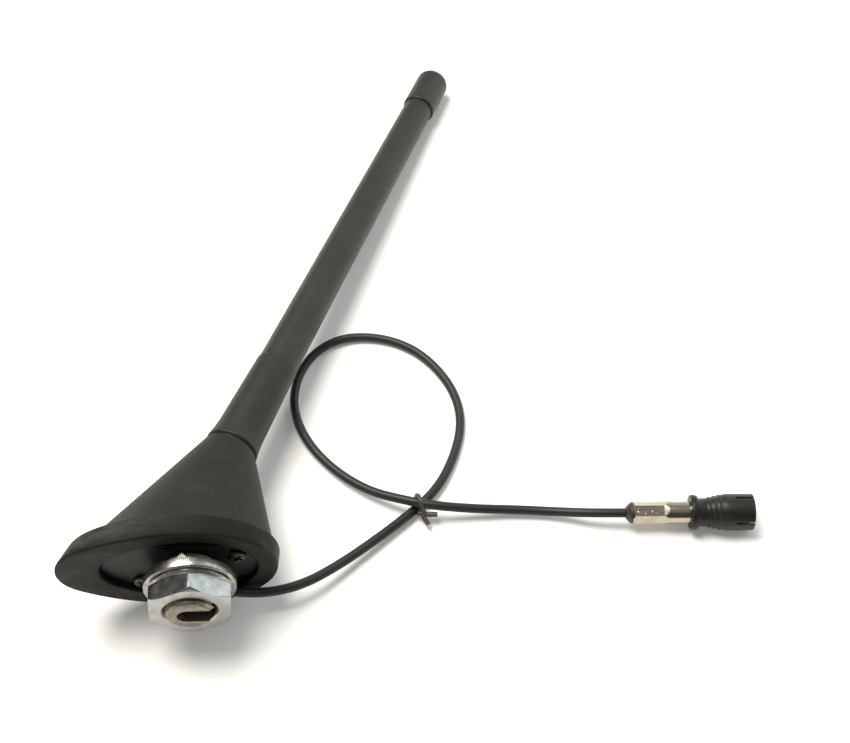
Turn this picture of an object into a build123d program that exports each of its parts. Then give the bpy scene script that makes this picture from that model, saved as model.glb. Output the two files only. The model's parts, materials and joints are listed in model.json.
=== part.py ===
from build123d import *
import math
import os

# Car roof antenna with a screw-on mast, a claw washer and nut below, and a coax lead.
# Lengths are in millimetres and angles in degrees.
# The base is drawn upright: stud axis on Z, gasket underside at Z = 0, nose towards -X.
# The mast is drawn along its own axis from the joint. The whole then lies on its side, as it rests.

# Gasket: outline of its underside and of its upper rim
FOOT_HALF_WIDTH = 19.0
FOOT_REAR = 24.1
FOOT_FRONT = 36.6
FOOT_NOSE_R = 11.8
RIM_HALF_WIDTH = 21.0
RIM_REAR = 24.9
RIM_FRONT = 33.0
RIM_NOSE_R = 15.8
RIM_MIDDLE = -1.8
GASKET_HEIGHT = 5.9
GASKET_WALL = 3.0
LIP_DEPTH = 2.2
LIP_SIDE = 4.4
LIP_REAR = 5.6
LIP_FRONT = 12.3
RECESS_NOSE_R = 9.0

# Cover: a skewed cone from the gasket to the mast joint
COVER_LEDGE = 1.6
COVER_FRONT_LEDGE = 3.6
COVER_NOSE_R = 13.5
COVER_WALL = 2.2
COVER_CROWN = 9.0
COLLAR_X = 11.6
COLLAR_Z = 39.8
COLLAR_R = 8.0
COLLAR_ROUNDING = 1.2
MAST_RAKE = 25.1
BOSS_R = 3.2

# Base plate with its pad
PAD_HALF_LENGTH = 10.6
PAD_HALF_WIDTH = 11.2
PAD_HEIGHT = 0.8
PAD_CORNER_R = 1.5
PIP_X = -6.5
PIP_Y = -8.2
PIP_R = 1.9
PIP_HEIGHT = 0.35

# Cover screws
SCREW_REAR_X = 12.7
SCREW_REAR_Y = 4.6
SCREW_FRONT_X = -12.9
SCREW_FRONT_Y = 8.3
SCREW_HEAD_R = 2.6
SCREW_HEAD_HEIGHT = 1.3
SCREW_HEAD_ROUNDING = 0.7
SCREW_CROSS_ARM = 3.2
SCREW_CROSS_TURN = 30.0
SCREW_SHANK_R = 1.25
SCREW_GRIP = 8.0
SCREW_CROSS_WIDTH = 0.7
SCREW_CROSS_DEPTH = 0.9

# Stud casting: threaded shank with a lengthwise slot, inner flange and clamp lug
STUD_R = 6.93
STUD_LENGTH = 14.0
STUD_CHAMFER = 1.0
SLOT_WIDTH = 5.8
SLOT_OFFSET = 3.6
FLANGE_HALF_LENGTH = 9.2
FLANGE_HALF_WIDTH = 7.6
FLANGE_THICKNESS = 2.4
LUG_HEIGHT = 8.0
LUG_LENGTH = 10.0
LUG_THICKNESS = 3.6

# Claw washer and nut
WASHER_R = 12.7
WASHER_BACK = 2.8
WASHER_RIM = 5.4
WASHER_SEAT = 6.9
WASHER_RIM_WIDTH = 1.4
WASHER_SLOPE = 1.0
WASHER_SHEET = 1.4
WASHER_HOLE_R = 7.3
WASHER_ROUNDING = 0.8
CLAW_COUNT = 3
CLAW_ANGLE = -101.0
CLAW_WIDTH = 3.2
CLAW_HEIGHT = 1.4
CLAW_THICKNESS = 1.0
CLAW_INSET = 0.2
CLAW_ROOT = 0.3
NUT_ACROSS_FLATS = 22.0
NUT_THICKNESS = 5.75
NUT_TURNED = 28.1
NUT_BORE_CHAMFER = 0.7
NUT_EDGE_R = 11.2
NUT_EDGE_SLOPE = 30.0

# Mast, along its own axis from the joint
MAST_FERRULE_END = 35.0
MAST_SHEATH_END = 168.0
MAST_TIP = 187.0
FERRULE_FOOT_R = 8.2
FERRULE_WAIST_R = 7.25
FERRULE_WAIST_AT = 9.0
FERRULE_TOP_R = 6.5
FERRULE_ROUNDING = 0.7
SHEATH_FOOT_R = 6.2
SHEATH_TOP_R = 5.15
SPIGOT_R = 4.6
CAP_R = 5.8
CAP_ROUNDING = 3.4
CAP_EDGE = 0.6
CORE_R = 2.5
CORE_IN_STUD = 9.0
CORE_IN_CAP = 10.0
WINDING_WIRE = 0.8
MAST_THREAD_R = 2.45
MAST_THREAD_LENGTH = 8.5
MAST_SHANK_R = 3.6
MAST_SHANK_END = 18.0
MAST_PITCH = 0.8
SEAL_THICKNESS = 0.6
SEAL_R = 7.5
SEAL_HOLE_R = 6.0

# Mast socket in the cover
SOCKET_R = 4.5
SOCKET_FLANGE_R = 5.6
SOCKET_FLANGE = 1.0
SOCKET_TAIL_R = 2.0
SOCKET_TAIL = 5.0

# Coax: grommet, inner tail, clamp, core wire
COAX_R = 1.4
CORE_WIRE_R = 0.45
OUTLET_X = 6.0
OUTLET_Z = -0.5
OUTLET_SLOPE = 10.0
TAIL_X = 0.6
TAIL_Y = 9.6
TAIL_BEND_R = 3.2
TAIL_OVERHANG = 1.5
GROMMET_HALF_WIDTH = 2.3
GROMMET_BACK = 3.2
GROMMET_BELOW = 0.45
CLAMP_THICKNESS = 1.8
CLAMP_GAP = 0.4
CLAMP_SCREW_R = 0.95
CLAMP_SCREW_HEAD_R = 1.8
CLAMP_SCREW_HEAD = 1.2
CLAMP_SCREW_SPREAD = 6.4
CLAMP_SCREW_GRIP = 3.0
CLAMP_SCREW_SPARE = 0.3

# Connector, along its own axis from the rear collar
BOOT_LENGTH = 1.9
BOOT_RIM_R = 3.15
BOOT_RIM = 0.5
SLEEVE_LENGTH = 17.0
SLEEVE_R = 3.3
SLEEVE_BORE_R = 2.0
CRIMP_START = 0.5
CRIMP_LENGTH = 8.6
CRIMP_ACROSS_FLATS = 5.9
CRIMP_TURN = 37.0
SHROUD_LENGTH = 18.6
SHROUD_COLLAR_R = 5.2
SHROUD_COLLAR = 2.4
SHROUD_NECK_R = 4.15
SHROUD_NECK_END = 4.6
SHROUD_FLARE_END = 10.5
SHROUD_R = 5.4
SHROUD_EDGE = 0.4
RIB_COUNT = 3
RIB_FIRST = 5.2
RIB_PITCH = 1.5
RIB_WIDTH = 0.6
RIB_HEIGHT = 0.3
MOUTH_R = 4.6
MOUTH_DEPTH = 7.5
MOUTH_SLOT_COUNT = 4
MOUTH_SLOT_TURN = 70.0
MOUTH_SLOT_WIDTH = 0.8
MOUTH_SLOT_LENGTH = 5.5
INSULATOR_R = 3.4
CONTACT_R = 1.0
CONTACT_HOLE_R = 0.55
SPIGOT_INTO_SHROUD = 4.0

# Fits
RUNNING_CLEARANCE = 0.07
SEAT_CLEARANCE = 0.05
FACE_CLEARANCE = 0.05
FLOOR_CLEARANCE = 0.05

# Two places closer than this count as one
SAME_PLACE = 0.01

# How it lies: the pitch seen in use, while the roll follows from the rim and the tip touching the floor
LIE_PITCH = 0.6
LIE_ROLL_LIMIT = 30.0
LIE_STEPS = 24

# The lead on the floor, in the finished frame: hand-chosen points after the outlet
OUTLET_RUN = 7.0
BEND_SHARE = 0.45
CONNECTOR_X = 97.4
CONNECTOR_Y = -83.2
CONNECTOR_HEADING = -5.3
CONNECTOR_RUN = 9.5
LEAD_POINTS = [
    (-8.5, -100.6, 8.7),
    (1.5, -97.8, 6.6),
    (12.0, -91.2, 4.3),
    (22.5, -83.8, 3.0),
    (33.5, -75.6, 2.3),
    (42.8, -67.6, 2.2),
    (49.2, -56.5, 1.5),
    (53.3, -44.0, 1.5),
    (52.6, -32.0, 1.5),
    (47.6, -20.8, 1.5),
    (40.2, -12.0, 1.5),
    (29.6, -6.6, 1.5),
    (17.8, -6.0, 1.7),
    (8.2, -11.8, 2.1),
    (2.2, -22.4, 2.4),
    (0.9, -34.6, 2.3),
    (4.8, -46.6, 2.0),
    (12.4, -57.6, 2.2),
    (22.2, -66.6, 3.2),
    (33.0, -72.4, 5.6),
    (41.6, -75.2, 5.7),
    (53.5, -76.2, 3.6),
    (66.0, -77.0, 2.3),
    (77.5, -79.0, 2.5),
]

# The tie where the lead crosses itself
TIE_X = 36.1
TIE_Y = -73.4
TIE_HEADING = 11.0
TIE_WIDTH = 1.7
TIE_THICKNESS = 0.7
TIE_HOLE_WIDTH = 4.6
TIE_HOLE_BOTTOM = 0.8
TIE_HOLE_TOP = 7.2
TIE_HOLE_R = 2.07
TIE_END_R = 0.6
TIE_END_LENGTHS = (5.2, 3.8)
TIE_END_HEADINGS = (-8.0, -55.0)
TIE_END_HEIGHT = 3.2


def egg(half_width, rear, front, nose_r, middle=0.0):
    """Egg-shaped face: half an ellipse at the rear, two side arcs and a round nose at -X."""
    reach = front - nose_r + middle
    side_r = (reach**2 + half_width**2 - nose_r**2) / (2 * (half_width - nose_r))
    turn = math.atan2(reach, side_r - half_width)

    def on_side(angle, hand):
        return (middle - side_r * math.sin(angle), hand * (half_width - side_r + side_r * math.cos(angle)))

    back = EllipticalCenterArc((middle, 0), rear - middle, half_width, -90, arc_size=180)
    left = ThreePointArc((middle, half_width), on_side(turn / 2, 1), on_side(turn, 1))
    nose = ThreePointArc(on_side(turn, 1), (-front, 0), on_side(turn, -1))
    right = ThreePointArc(on_side(turn, -1), on_side(turn / 2, -1), (middle, -half_width))
    return make_face([back, left, nose, right])


def side_turn(half_width, front, nose_r, middle):
    """Angle in degrees through which each side of an egg turns before its nose begins."""
    reach = front - nose_r + middle
    side_r = (reach**2 + half_width**2 - nose_r**2) / (2 * (half_width - nose_r))
    return math.degrees(math.atan2(reach, side_r - half_width))


def round_face(radius, turn):
    """Disc with its edge cut into the same four stretches as an egg, so that the two can be lofted."""
    edges = [
        CenterArc((0, 0), radius, -90, 180),
        CenterArc((0, 0), radius, 90, turn),
        CenterArc((0, 0), radius, 90 + turn, 180 - 2 * turn),
        CenterArc((0, 0), radius, 270 - turn, turn),
    ]
    return make_face(edges)


def cylinder(radius, bottom, top):
    """Round bar on the Z axis between two heights."""
    return Pos(0, 0, bottom) * extrude(Circle(radius), amount=top - bottom)


def ring(outer, inner, bottom, top):
    """Plain ring on the Z axis between two heights."""
    return cylinder(outer, bottom, top) - cylinder(inner, bottom - 1, top + 1)


def turned(points):
    """Solid turned about Z from (radius, height) corners."""
    outline = Polyline(*[(r, 0, z) for r, z in points], close=True)
    return revolve(make_face(outline), Axis.Z)


def block(low, high):
    """Box between two corners."""
    size = [b - a for a, b in zip(low, high)]
    middle = [(a + b) / 2 for a, b in zip(low, high)]
    return Pos(*middle) * Box(*size)


def point_in(place, x, y, z):
    """Where a point of a local frame ends up."""
    return (place * Pos(x, y, z)).position


def tube(points, radius, bends):
    """Round tube along straight runs joined by tangent arcs, and the length of its path."""
    path = FilletPolyline(*points, radius=bends)
    section = Plane(origin=path @ 0, z_dir=path % 0) * Circle(radius)
    return sweep(section, path=path), path.length


def largest_bends(points):
    """For each corner, the largest arc radius that leaves a little straight run."""
    bends = []
    for before, corner, after in zip(points, points[1:], points[2:]):
        arriving = Vector(*corner) - Vector(*before)
        leaving = Vector(*after) - Vector(*corner)
        half_turn = math.radians(arriving.get_angle(leaving)) / 2
        bends.append(BEND_SHARE * min(arriving.length, leaving.length) / math.tan(half_turn))
    return bends


# Places that several pieces share
PAD_FACE = LIP_DEPTH - PAD_HEIGHT
WASHER_RIM_R = WASHER_R - WASHER_RIM_WIDTH
WASHER_SEAT_R = WASHER_RIM_R - WASHER_SLOPE
PLATE_TOP = GASKET_HEIGHT
NUT_BACK = -WASHER_SEAT - FACE_CLEARANCE
NUT_FRONT = NUT_BACK - NUT_THICKNESS
NUT_BORE_R = STUD_R + RUNNING_CLEARANCE
FERRULE_BOTTOM = SEAL_THICKNESS + 2 * FACE_CLEARANCE
WINDING_R = CORE_R + SEAT_CLEARANCE + WINDING_WIRE
LUG_FACE = TAIL_Y - CLAMP_GAP / 2
LUG_TOP = PLATE_TOP + FLANGE_THICKNESS + LUG_HEIGHT
CLAMP_SCREW_Z = LUG_TOP - LUG_HEIGHT / 2
SCREW_PLACES = [(SCREW_REAR_X, -SCREW_REAR_Y), (SCREW_FRONT_X, SCREW_FRONT_Y)]
MAST_FRAME = Pos(COLLAR_X, 0, COLLAR_Z) * Rot(Y=MAST_RAKE)


def plate_outline(inset):
    """Outline of the base plate's pocket in the gasket, drawn in by an inset."""
    step = GASKET_WALL + inset
    return egg(RIM_HALF_WIDTH - step, RIM_REAR - step, RIM_FRONT - step, RIM_NOSE_R - step, RIM_MIDDLE)


def base_gasket():
    foot = egg(FOOT_HALF_WIDTH, FOOT_REAR, FOOT_FRONT, FOOT_NOSE_R)
    rim = Pos(0, 0, GASKET_HEIGHT) * egg(RIM_HALF_WIDTH, RIM_REAR, RIM_FRONT, RIM_NOSE_R, RIM_MIDDLE)
    recess = egg(FOOT_HALF_WIDTH - LIP_SIDE, FOOT_REAR - LIP_REAR, FOOT_FRONT - LIP_FRONT, RECESS_NOSE_R)
    pocket = Pos(0, 0, LIP_DEPTH) * extrude(plate_outline(0), amount=GASKET_HEIGHT)
    hole = Pos(0, 0, -1) * extrude(recess, amount=LIP_DEPTH + 2)
    return loft([foot, rim], ruled=True) - pocket - hole


def base_cover():
    foot_half = RIM_HALF_WIDTH - COVER_LEDGE
    foot_rear = RIM_REAR - COVER_LEDGE
    foot_front = RIM_FRONT - COVER_FRONT_LEDGE
    foot = Pos(0, 0, PLATE_TOP) * egg(foot_half, foot_rear, foot_front, COVER_NOSE_R, RIM_MIDDLE)
    turn = side_turn(foot_half, foot_front, COVER_NOSE_R, RIM_MIDDLE)
    outer = loft([foot, MAST_FRAME * round_face(COLLAR_R, turn)], ruled=True)
    inner_foot = Pos(0, 0, PLATE_TOP) * egg(
        foot_half - COVER_WALL,
        foot_rear - COVER_WALL,
        foot_front - COVER_WALL,
        COVER_NOSE_R - COVER_WALL,
        RIM_MIDDLE,
    )
    # The cone's sides widen from the collar to the foot, so the crown's underside is wider than the collar
    widening = (foot_half - COLLAR_R) / (COLLAR_Z - PLATE_TOP) * math.cos(math.radians(MAST_RAKE))
    crown_r = COLLAR_R + COVER_CROWN * widening - COVER_WALL
    inner_top = MAST_FRAME * Pos(0, 0, -COVER_CROWN) * round_face(crown_r, turn)
    shell = outer - loft([inner_foot, inner_top], ruled=True)
    for x, y in SCREW_PLACES:
        shell += outer & (Pos(x, y, 0) * cylinder(BOSS_R, PLATE_TOP, COLLAR_Z))
    pilot_r = SCREW_SHANK_R + SEAT_CLEARANCE
    for x, y in SCREW_PLACES:
        shell -= Pos(x, y, 0) * cylinder(pilot_r, PLATE_TOP - 1, PLATE_TOP + SCREW_GRIP + 1)
    to_collar = MAST_FRAME.inverse()
    collar_edges = [e for e in shell.edges() if abs((to_collar * e).center().Z) < SAME_PLACE]
    shell = fillet(collar_edges, COLLAR_ROUNDING)
    shell -= MAST_FRAME * cylinder(SOCKET_R + SEAT_CLEARANCE, -COVER_CROWN - 2, 1)
    shell -= MAST_FRAME * cylinder(SOCKET_FLANGE_R + SEAT_CLEARANCE, -SOCKET_FLANGE, 1)
    return shell


def base_plate():
    plate = Pos(0, 0, LIP_DEPTH) * extrude(plate_outline(SEAT_CLEARANCE), amount=PLATE_TOP - LIP_DEPTH)
    pad = RectangleRounded(2 * PAD_HALF_LENGTH, 2 * PAD_HALF_WIDTH, PAD_CORNER_R)
    plate += Pos(0, 0, PAD_FACE) * extrude(pad, amount=PAD_HEIGHT)
    plate += Pos(PIP_X, PIP_Y, 0) * cylinder(PIP_R, PAD_FACE - PIP_HEIGHT, PAD_FACE + 1)
    plate -= cylinder(STUD_R + SEAT_CLEARANCE, PAD_FACE - 1, PLATE_TOP + 1)
    plate -= grommet_neck(SEAT_CLEARANCE, PAD_FACE - 1, PLATE_TOP + 1)
    for x, y in SCREW_PLACES:
        plate -= Pos(x, y, 0) * cylinder(SCREW_SHANK_R + SEAT_CLEARANCE, PAD_FACE - 1, PLATE_TOP + 1)
        plate -= Pos(x, y, 0) * cylinder(SCREW_HEAD_R + SEAT_CLEARANCE, PAD_FACE - 1, LIP_DEPTH)
    return plate


def cover_screws():
    head = cylinder(SCREW_HEAD_R, LIP_DEPTH - SCREW_HEAD_HEIGHT, LIP_DEPTH)
    head = fillet(head.edges().sort_by(Axis.Z)[0], SCREW_HEAD_ROUNDING)
    arm = Box(SCREW_CROSS_ARM, SCREW_CROSS_WIDTH, 2 * SCREW_CROSS_DEPTH)
    cross = arm + Rot(Z=90) * arm
    screw = head + cylinder(SCREW_SHANK_R, LIP_DEPTH, PLATE_TOP + SCREW_GRIP)
    screw -= Pos(0, 0, LIP_DEPTH - SCREW_HEAD_HEIGHT) * Rot(Z=SCREW_CROSS_TURN) * cross
    return Compound(children=[Pos(x, y, 0) * screw for x, y in SCREW_PLACES])


def coax_bore(clearance):
    """Straight upright bore round the inner tail of the coax, for whatever grips it."""
    return Pos(TAIL_X, TAIL_Y, 0) * cylinder(COAX_R + clearance, PLATE_TOP, LUG_TOP + 1)


def roof_stud():
    stud = cylinder(STUD_R, -STUD_LENGTH, PLATE_TOP)
    stud = chamfer(stud.edges().sort_by(Axis.Z)[0], STUD_CHAMFER)
    slot_height = STUD_LENGTH + PLATE_TOP + FLANGE_THICKNESS + 2
    slot_end_r = SLOT_WIDTH / 2
    round_end = Pos(slot_end_r - SLOT_OFFSET, 0, 0) * Circle(slot_end_r)
    open_end = Pos(slot_end_r - SLOT_OFFSET + STUD_R, 0, 0) * Rectangle(2 * STUD_R, SLOT_WIDTH)
    stud -= Pos(0, 0, -STUD_LENGTH - 1) * extrude(round_end + open_end, amount=slot_height)
    flange = block(
        (-FLANGE_HALF_LENGTH, -FLANGE_HALF_WIDTH, PLATE_TOP),
        (FLANGE_HALF_LENGTH, FLANGE_HALF_WIDTH, PLATE_TOP + FLANGE_THICKNESS),
    )
    flange -= Pos(0, 0, PLATE_TOP) * extrude(round_end, amount=FLANGE_THICKNESS)
    lug = block(
        (TAIL_X - LUG_LENGTH / 2, LUG_FACE - LUG_THICKNESS, PLATE_TOP + FLANGE_THICKNESS),
        (TAIL_X + LUG_LENGTH / 2, LUG_FACE, LUG_TOP),
    )
    casting = stud + flange + lug - coax_bore(SEAT_CLEARANCE)
    hole_end = LUG_FACE - CLAMP_SCREW_GRIP - CLAMP_SCREW_SPARE
    for side in (-1, 1):
        casting -= clamp_screw_bar(side, CLAMP_SCREW_R + SEAT_CLEARANCE, hole_end, LUG_FACE)
    return casting


def clamp_screw_bar(side, radius, start, end):
    """Round bar along Y at one of the two clamp screws."""
    place = Pos(TAIL_X + side * CLAMP_SCREW_SPREAD / 2, 0, CLAMP_SCREW_Z) * Rot(X=-90)
    return place * cylinder(radius, start, end)


def cable_clamp():
    start = LUG_FACE + CLAMP_GAP
    plate = block(
        (TAIL_X - LUG_LENGTH / 2, start, LUG_TOP - LUG_HEIGHT + 1),
        (TAIL_X + LUG_LENGTH / 2, start + CLAMP_THICKNESS, LUG_TOP - 1),
    )
    plate -= coax_bore(SEAT_CLEARANCE)
    for side in (-1, 1):
        plate -= clamp_screw_bar(side, CLAMP_SCREW_R + SEAT_CLEARANCE, start - 1, start + CLAMP_THICKNESS + 1)
    return plate


def clamp_screws():
    under_head = LUG_FACE + CLAMP_GAP + CLAMP_THICKNESS
    screws = []
    for side in (-1, 1):
        shank = clamp_screw_bar(side, CLAMP_SCREW_R, LUG_FACE - CLAMP_SCREW_GRIP, under_head)
        head = clamp_screw_bar(side, CLAMP_SCREW_HEAD_R, under_head, under_head + CLAMP_SCREW_HEAD)
        screws.append(shank + head)
    return Compound(children=screws)


def tail_points():
    """Path of the coax inside the base, from the outlet to above the clamp."""
    corner_z = OUTLET_Z + (OUTLET_X - TAIL_X) * math.tan(math.radians(OUTLET_SLOPE))
    return [
        (OUTLET_X, TAIL_Y, OUTLET_Z),
        (TAIL_X, TAIL_Y, corner_z),
        (TAIL_X, TAIL_Y, LUG_TOP + TAIL_OVERHANG),
    ]


def cable_tail():
    return tube(tail_points(), COAX_R, TAIL_BEND_R)[0]


def grommet_neck(clearance, bottom, top):
    """Upright stretch of the grommet, where it goes through the base plate."""
    half = GROMMET_HALF_WIDTH + clearance
    return block(
        (TAIL_X - GROMMET_BACK - clearance, TAIL_Y - half, bottom),
        (TAIL_X + GROMMET_BACK + clearance, TAIL_Y + half, top),
    )


def cable_grommet():
    bottom = OUTLET_Z - COAX_R - GROMMET_BELOW
    elbow = block(
        (TAIL_X - GROMMET_BACK, TAIL_Y - GROMMET_HALF_WIDTH, bottom),
        (OUTLET_X - 0.4, TAIL_Y + GROMMET_HALF_WIDTH, PAD_FACE),
    )
    hole = tube(tail_points(), COAX_R + SEAT_CLEARANCE, TAIL_BEND_R)[0]
    return elbow + grommet_neck(0, PAD_FACE, PLATE_TOP) - hole


def core_wire():
    tail_end = point_in(MAST_FRAME, 0, 0, -COVER_CROWN - 1 - SOCKET_TAIL)
    before_end = point_in(MAST_FRAME, 0, 0, -COVER_CROWN - 1 - SOCKET_TAIL - 3)
    start_z = LUG_TOP + TAIL_OVERHANG
    points = [
        (TAIL_X, TAIL_Y, start_z),
        (TAIL_X, TAIL_Y, start_z + 2),
        (before_end.X, before_end.Y, before_end.Z),
        (tail_end.X, tail_end.Y, tail_end.Z),
    ]
    return tube(points, CORE_WIRE_R, CORE_WIRE_R * 2.5)[0]


def mast_socket():
    bottom = -COVER_CROWN - 1
    body = cylinder(SOCKET_R, bottom, -SOCKET_FLANGE)
    body += cylinder(SOCKET_FLANGE_R, -SOCKET_FLANGE, -FACE_CLEARANCE)
    body += cylinder(SOCKET_TAIL_R, bottom - SOCKET_TAIL, bottom)
    body -= cylinder(MAST_THREAD_R + RUNNING_CLEARANCE, -MAST_THREAD_LENGTH - 0.8, 1)
    return MAST_FRAME * body


def claw_washer():
    sheet = WASHER_SHEET
    lean = sheet * math.tan(math.atan2(WASHER_SEAT - WASHER_RIM, WASHER_SLOPE) / 2)
    shell = turned([
        (WASHER_R, -WASHER_BACK),
        (WASHER_R, -WASHER_RIM),
        (WASHER_RIM_R, -WASHER_RIM),
        (WASHER_SEAT_R, -WASHER_SEAT),
        (WASHER_HOLE_R, -WASHER_SEAT),
        (WASHER_HOLE_R, -WASHER_SEAT + sheet),
        (WASHER_SEAT_R - lean, -WASHER_SEAT + sheet),
        (WASHER_RIM_R - lean, -WASHER_RIM + sheet),
        (WASHER_R - sheet, -WASHER_RIM + sheet),
        (WASHER_R - sheet, -WASHER_BACK),
    ])
    rim = shell.edges().filter_by(GeomType.CIRCLE)
    front = rim.filter_by(lambda edge: abs(edge.radius - WASHER_R) < SAME_PLACE).sort_by(Axis.Z)[0]
    shell = fillet(front, WASHER_ROUNDING)
    claw = Polyline((-CLAW_WIDTH / 2, -CLAW_ROOT), (CLAW_WIDTH / 2, -CLAW_ROOT), (0, CLAW_HEIGHT), close=True)
    tooth = extrude(Plane.XZ * make_face(claw), amount=CLAW_THICKNESS)
    tooth = Pos(0, CLAW_THICKNESS - WASHER_R + CLAW_INSET, -WASHER_BACK) * tooth
    for index in range(CLAW_COUNT):
        shell += Rot(Z=CLAW_ANGLE + 90 + index * 360 / CLAW_COUNT) * tooth
    return shell


def roof_nut():
    corner_r = NUT_ACROSS_FLATS / math.sqrt(3)
    drop = (corner_r + 1 - NUT_EDGE_R) * math.tan(math.radians(NUT_EDGE_SLOPE))
    hexagon = RegularPolygon(corner_r, 6, rotation=NUT_TURNED)
    prism = Pos(0, 0, NUT_FRONT) * extrude(hexagon, amount=NUT_THICKNESS)
    barrel = turned([
        (0, NUT_FRONT),
        (NUT_EDGE_R, NUT_FRONT),
        (corner_r + 1, NUT_FRONT + drop),
        (corner_r + 1, NUT_BACK - drop),
        (NUT_EDGE_R, NUT_BACK),
        (0, NUT_BACK),
    ])
    bore = turned([
        (0, NUT_FRONT - 1),
        (NUT_BORE_R + NUT_BORE_CHAMFER + 1, NUT_FRONT - 1),
        (NUT_BORE_R, NUT_FRONT + NUT_BORE_CHAMFER),
        (NUT_BORE_R, NUT_BACK - NUT_BORE_CHAMFER),
        (NUT_BORE_R + NUT_BORE_CHAMFER + 1, NUT_BACK + 1),
        (0, NUT_BACK + 1),
    ])
    return (prism & barrel) - bore


def mast_seal():
    return MAST_FRAME * ring(SEAL_R, SEAL_HOLE_R, FACE_CLEARANCE, FACE_CLEARANCE + SEAL_THICKNESS)


def mast_ferrule():
    waist = (FERRULE_WAIST_R, 0, FERRULE_WAIST_AT)
    taper = (FERRULE_WAIST_R - FERRULE_TOP_R, 0, FERRULE_WAIST_AT - MAST_FERRULE_END)
    edges = [
        Line((0, 0, FERRULE_BOTTOM), (FERRULE_FOOT_R, 0, FERRULE_BOTTOM)),
        TangentArc(waist, (FERRULE_FOOT_R, 0, FERRULE_BOTTOM), tangent=taper),
        Line(waist, (FERRULE_TOP_R, 0, MAST_FERRULE_END)),
        Line((FERRULE_TOP_R, 0, MAST_FERRULE_END), (0, 0, MAST_FERRULE_END)),
        Line((0, 0, MAST_FERRULE_END), (0, 0, FERRULE_BOTTOM)),
    ]
    sleeve = revolve(make_face(edges), Axis.Z)
    rims = sleeve.edges().filter_by(GeomType.CIRCLE).sort_by(Axis.Z)
    sleeve = fillet([rims[0], rims[-1]], FERRULE_ROUNDING)
    sleeve -= cylinder(MAST_SHANK_R + SEAT_CLEARANCE, FERRULE_BOTTOM - 1, MAST_SHANK_END)
    sleeve -= cylinder(SPIGOT_R + SEAT_CLEARANCE, MAST_SHANK_END, MAST_FERRULE_END + 1)
    return MAST_FRAME * sleeve


def mast_stud():
    thread = cylinder(MAST_THREAD_R, -MAST_THREAD_LENGTH, FERRULE_BOTTOM)
    thread = chamfer(thread.edges().sort_by(Axis.Z)[0], MAST_PITCH * 0.6)
    shank = cylinder(MAST_SHANK_R, FERRULE_BOTTOM, MAST_SHANK_END - SEAT_CLEARANCE)
    socket = cylinder(CORE_R + SEAT_CLEARANCE, MAST_SHANK_END - CORE_IN_STUD - 0.2, MAST_SHANK_END + 1)
    return MAST_FRAME * (thread + shank - socket)


def mast_core():
    return MAST_FRAME * cylinder(CORE_R, MAST_SHANK_END - CORE_IN_STUD, MAST_SHEATH_END + CORE_IN_CAP)


def mast_winding():
    bottom = MAST_SHANK_END + SEAT_CLEARANCE
    return MAST_FRAME * ring(WINDING_R, CORE_R + SEAT_CLEARANCE, bottom, MAST_SHEATH_END - 1)


def mast_sheath():
    outer = turned([
        (0, MAST_SHANK_END),
        (SPIGOT_R, MAST_SHANK_END),
        (SPIGOT_R, MAST_FERRULE_END),
        (SHEATH_FOOT_R, MAST_FERRULE_END),
        (SHEATH_TOP_R, MAST_SHEATH_END),
        (0, MAST_SHEATH_END),
    ])
    return MAST_FRAME * (outer - cylinder(WINDING_R + SEAT_CLEARANCE, MAST_SHANK_END - 1, MAST_SHEATH_END + 1))


def mast_cap():
    cap = cylinder(CAP_R, MAST_SHEATH_END, MAST_TIP)
    rims = cap.edges().filter_by(GeomType.CIRCLE).sort_by(Axis.Z)
    cap = fillet(rims[-1], CAP_ROUNDING)
    cap = fillet(cap.edges().filter_by(GeomType.CIRCLE).sort_by(Axis.Z)[0], CAP_EDGE)
    core_end = MAST_SHEATH_END + CORE_IN_CAP + SEAT_CLEARANCE
    cap -= cylinder(CORE_R + SEAT_CLEARANCE, MAST_SHEATH_END - 1, core_end)
    return MAST_FRAME * cap


# Stations along the connector's axis
SLEEVE_START = BOOT_LENGTH
SHROUD_START = SLEEVE_START + SLEEVE_LENGTH
SHROUD_END = SHROUD_START + SHROUD_LENGTH
MOUTH_START = SHROUD_END - MOUTH_DEPTH
INSULATOR_START = SHROUD_START + SPIGOT_INTO_SHROUD


def connector_boot():
    return turned([
        (0, 0),
        (COAX_R + 0.3, 0),
        (BOOT_RIM_R, BOOT_LENGTH - BOOT_RIM),
        (BOOT_RIM_R, BOOT_LENGTH),
        (0, BOOT_LENGTH),
    ])


def connector_sleeve():
    sleeve = cylinder(SLEEVE_R, SLEEVE_START, SHROUD_START + SPIGOT_INTO_SHROUD)
    crimp_end = CRIMP_START + CRIMP_LENGTH
    flats = RegularPolygon(CRIMP_ACROSS_FLATS / 2, 6, major_radius=False, rotation=30 + CRIMP_TURN)
    keep = extrude(flats, amount=CRIMP_LENGTH)
    cut = cylinder(SLEEVE_R + 1, SLEEVE_START + CRIMP_START, SLEEVE_START + crimp_end)
    sleeve -= cut - Pos(0, 0, SLEEVE_START + CRIMP_START) * keep
    return sleeve - cylinder(SLEEVE_BORE_R, SLEEVE_START - 1, SHROUD_END)


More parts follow.
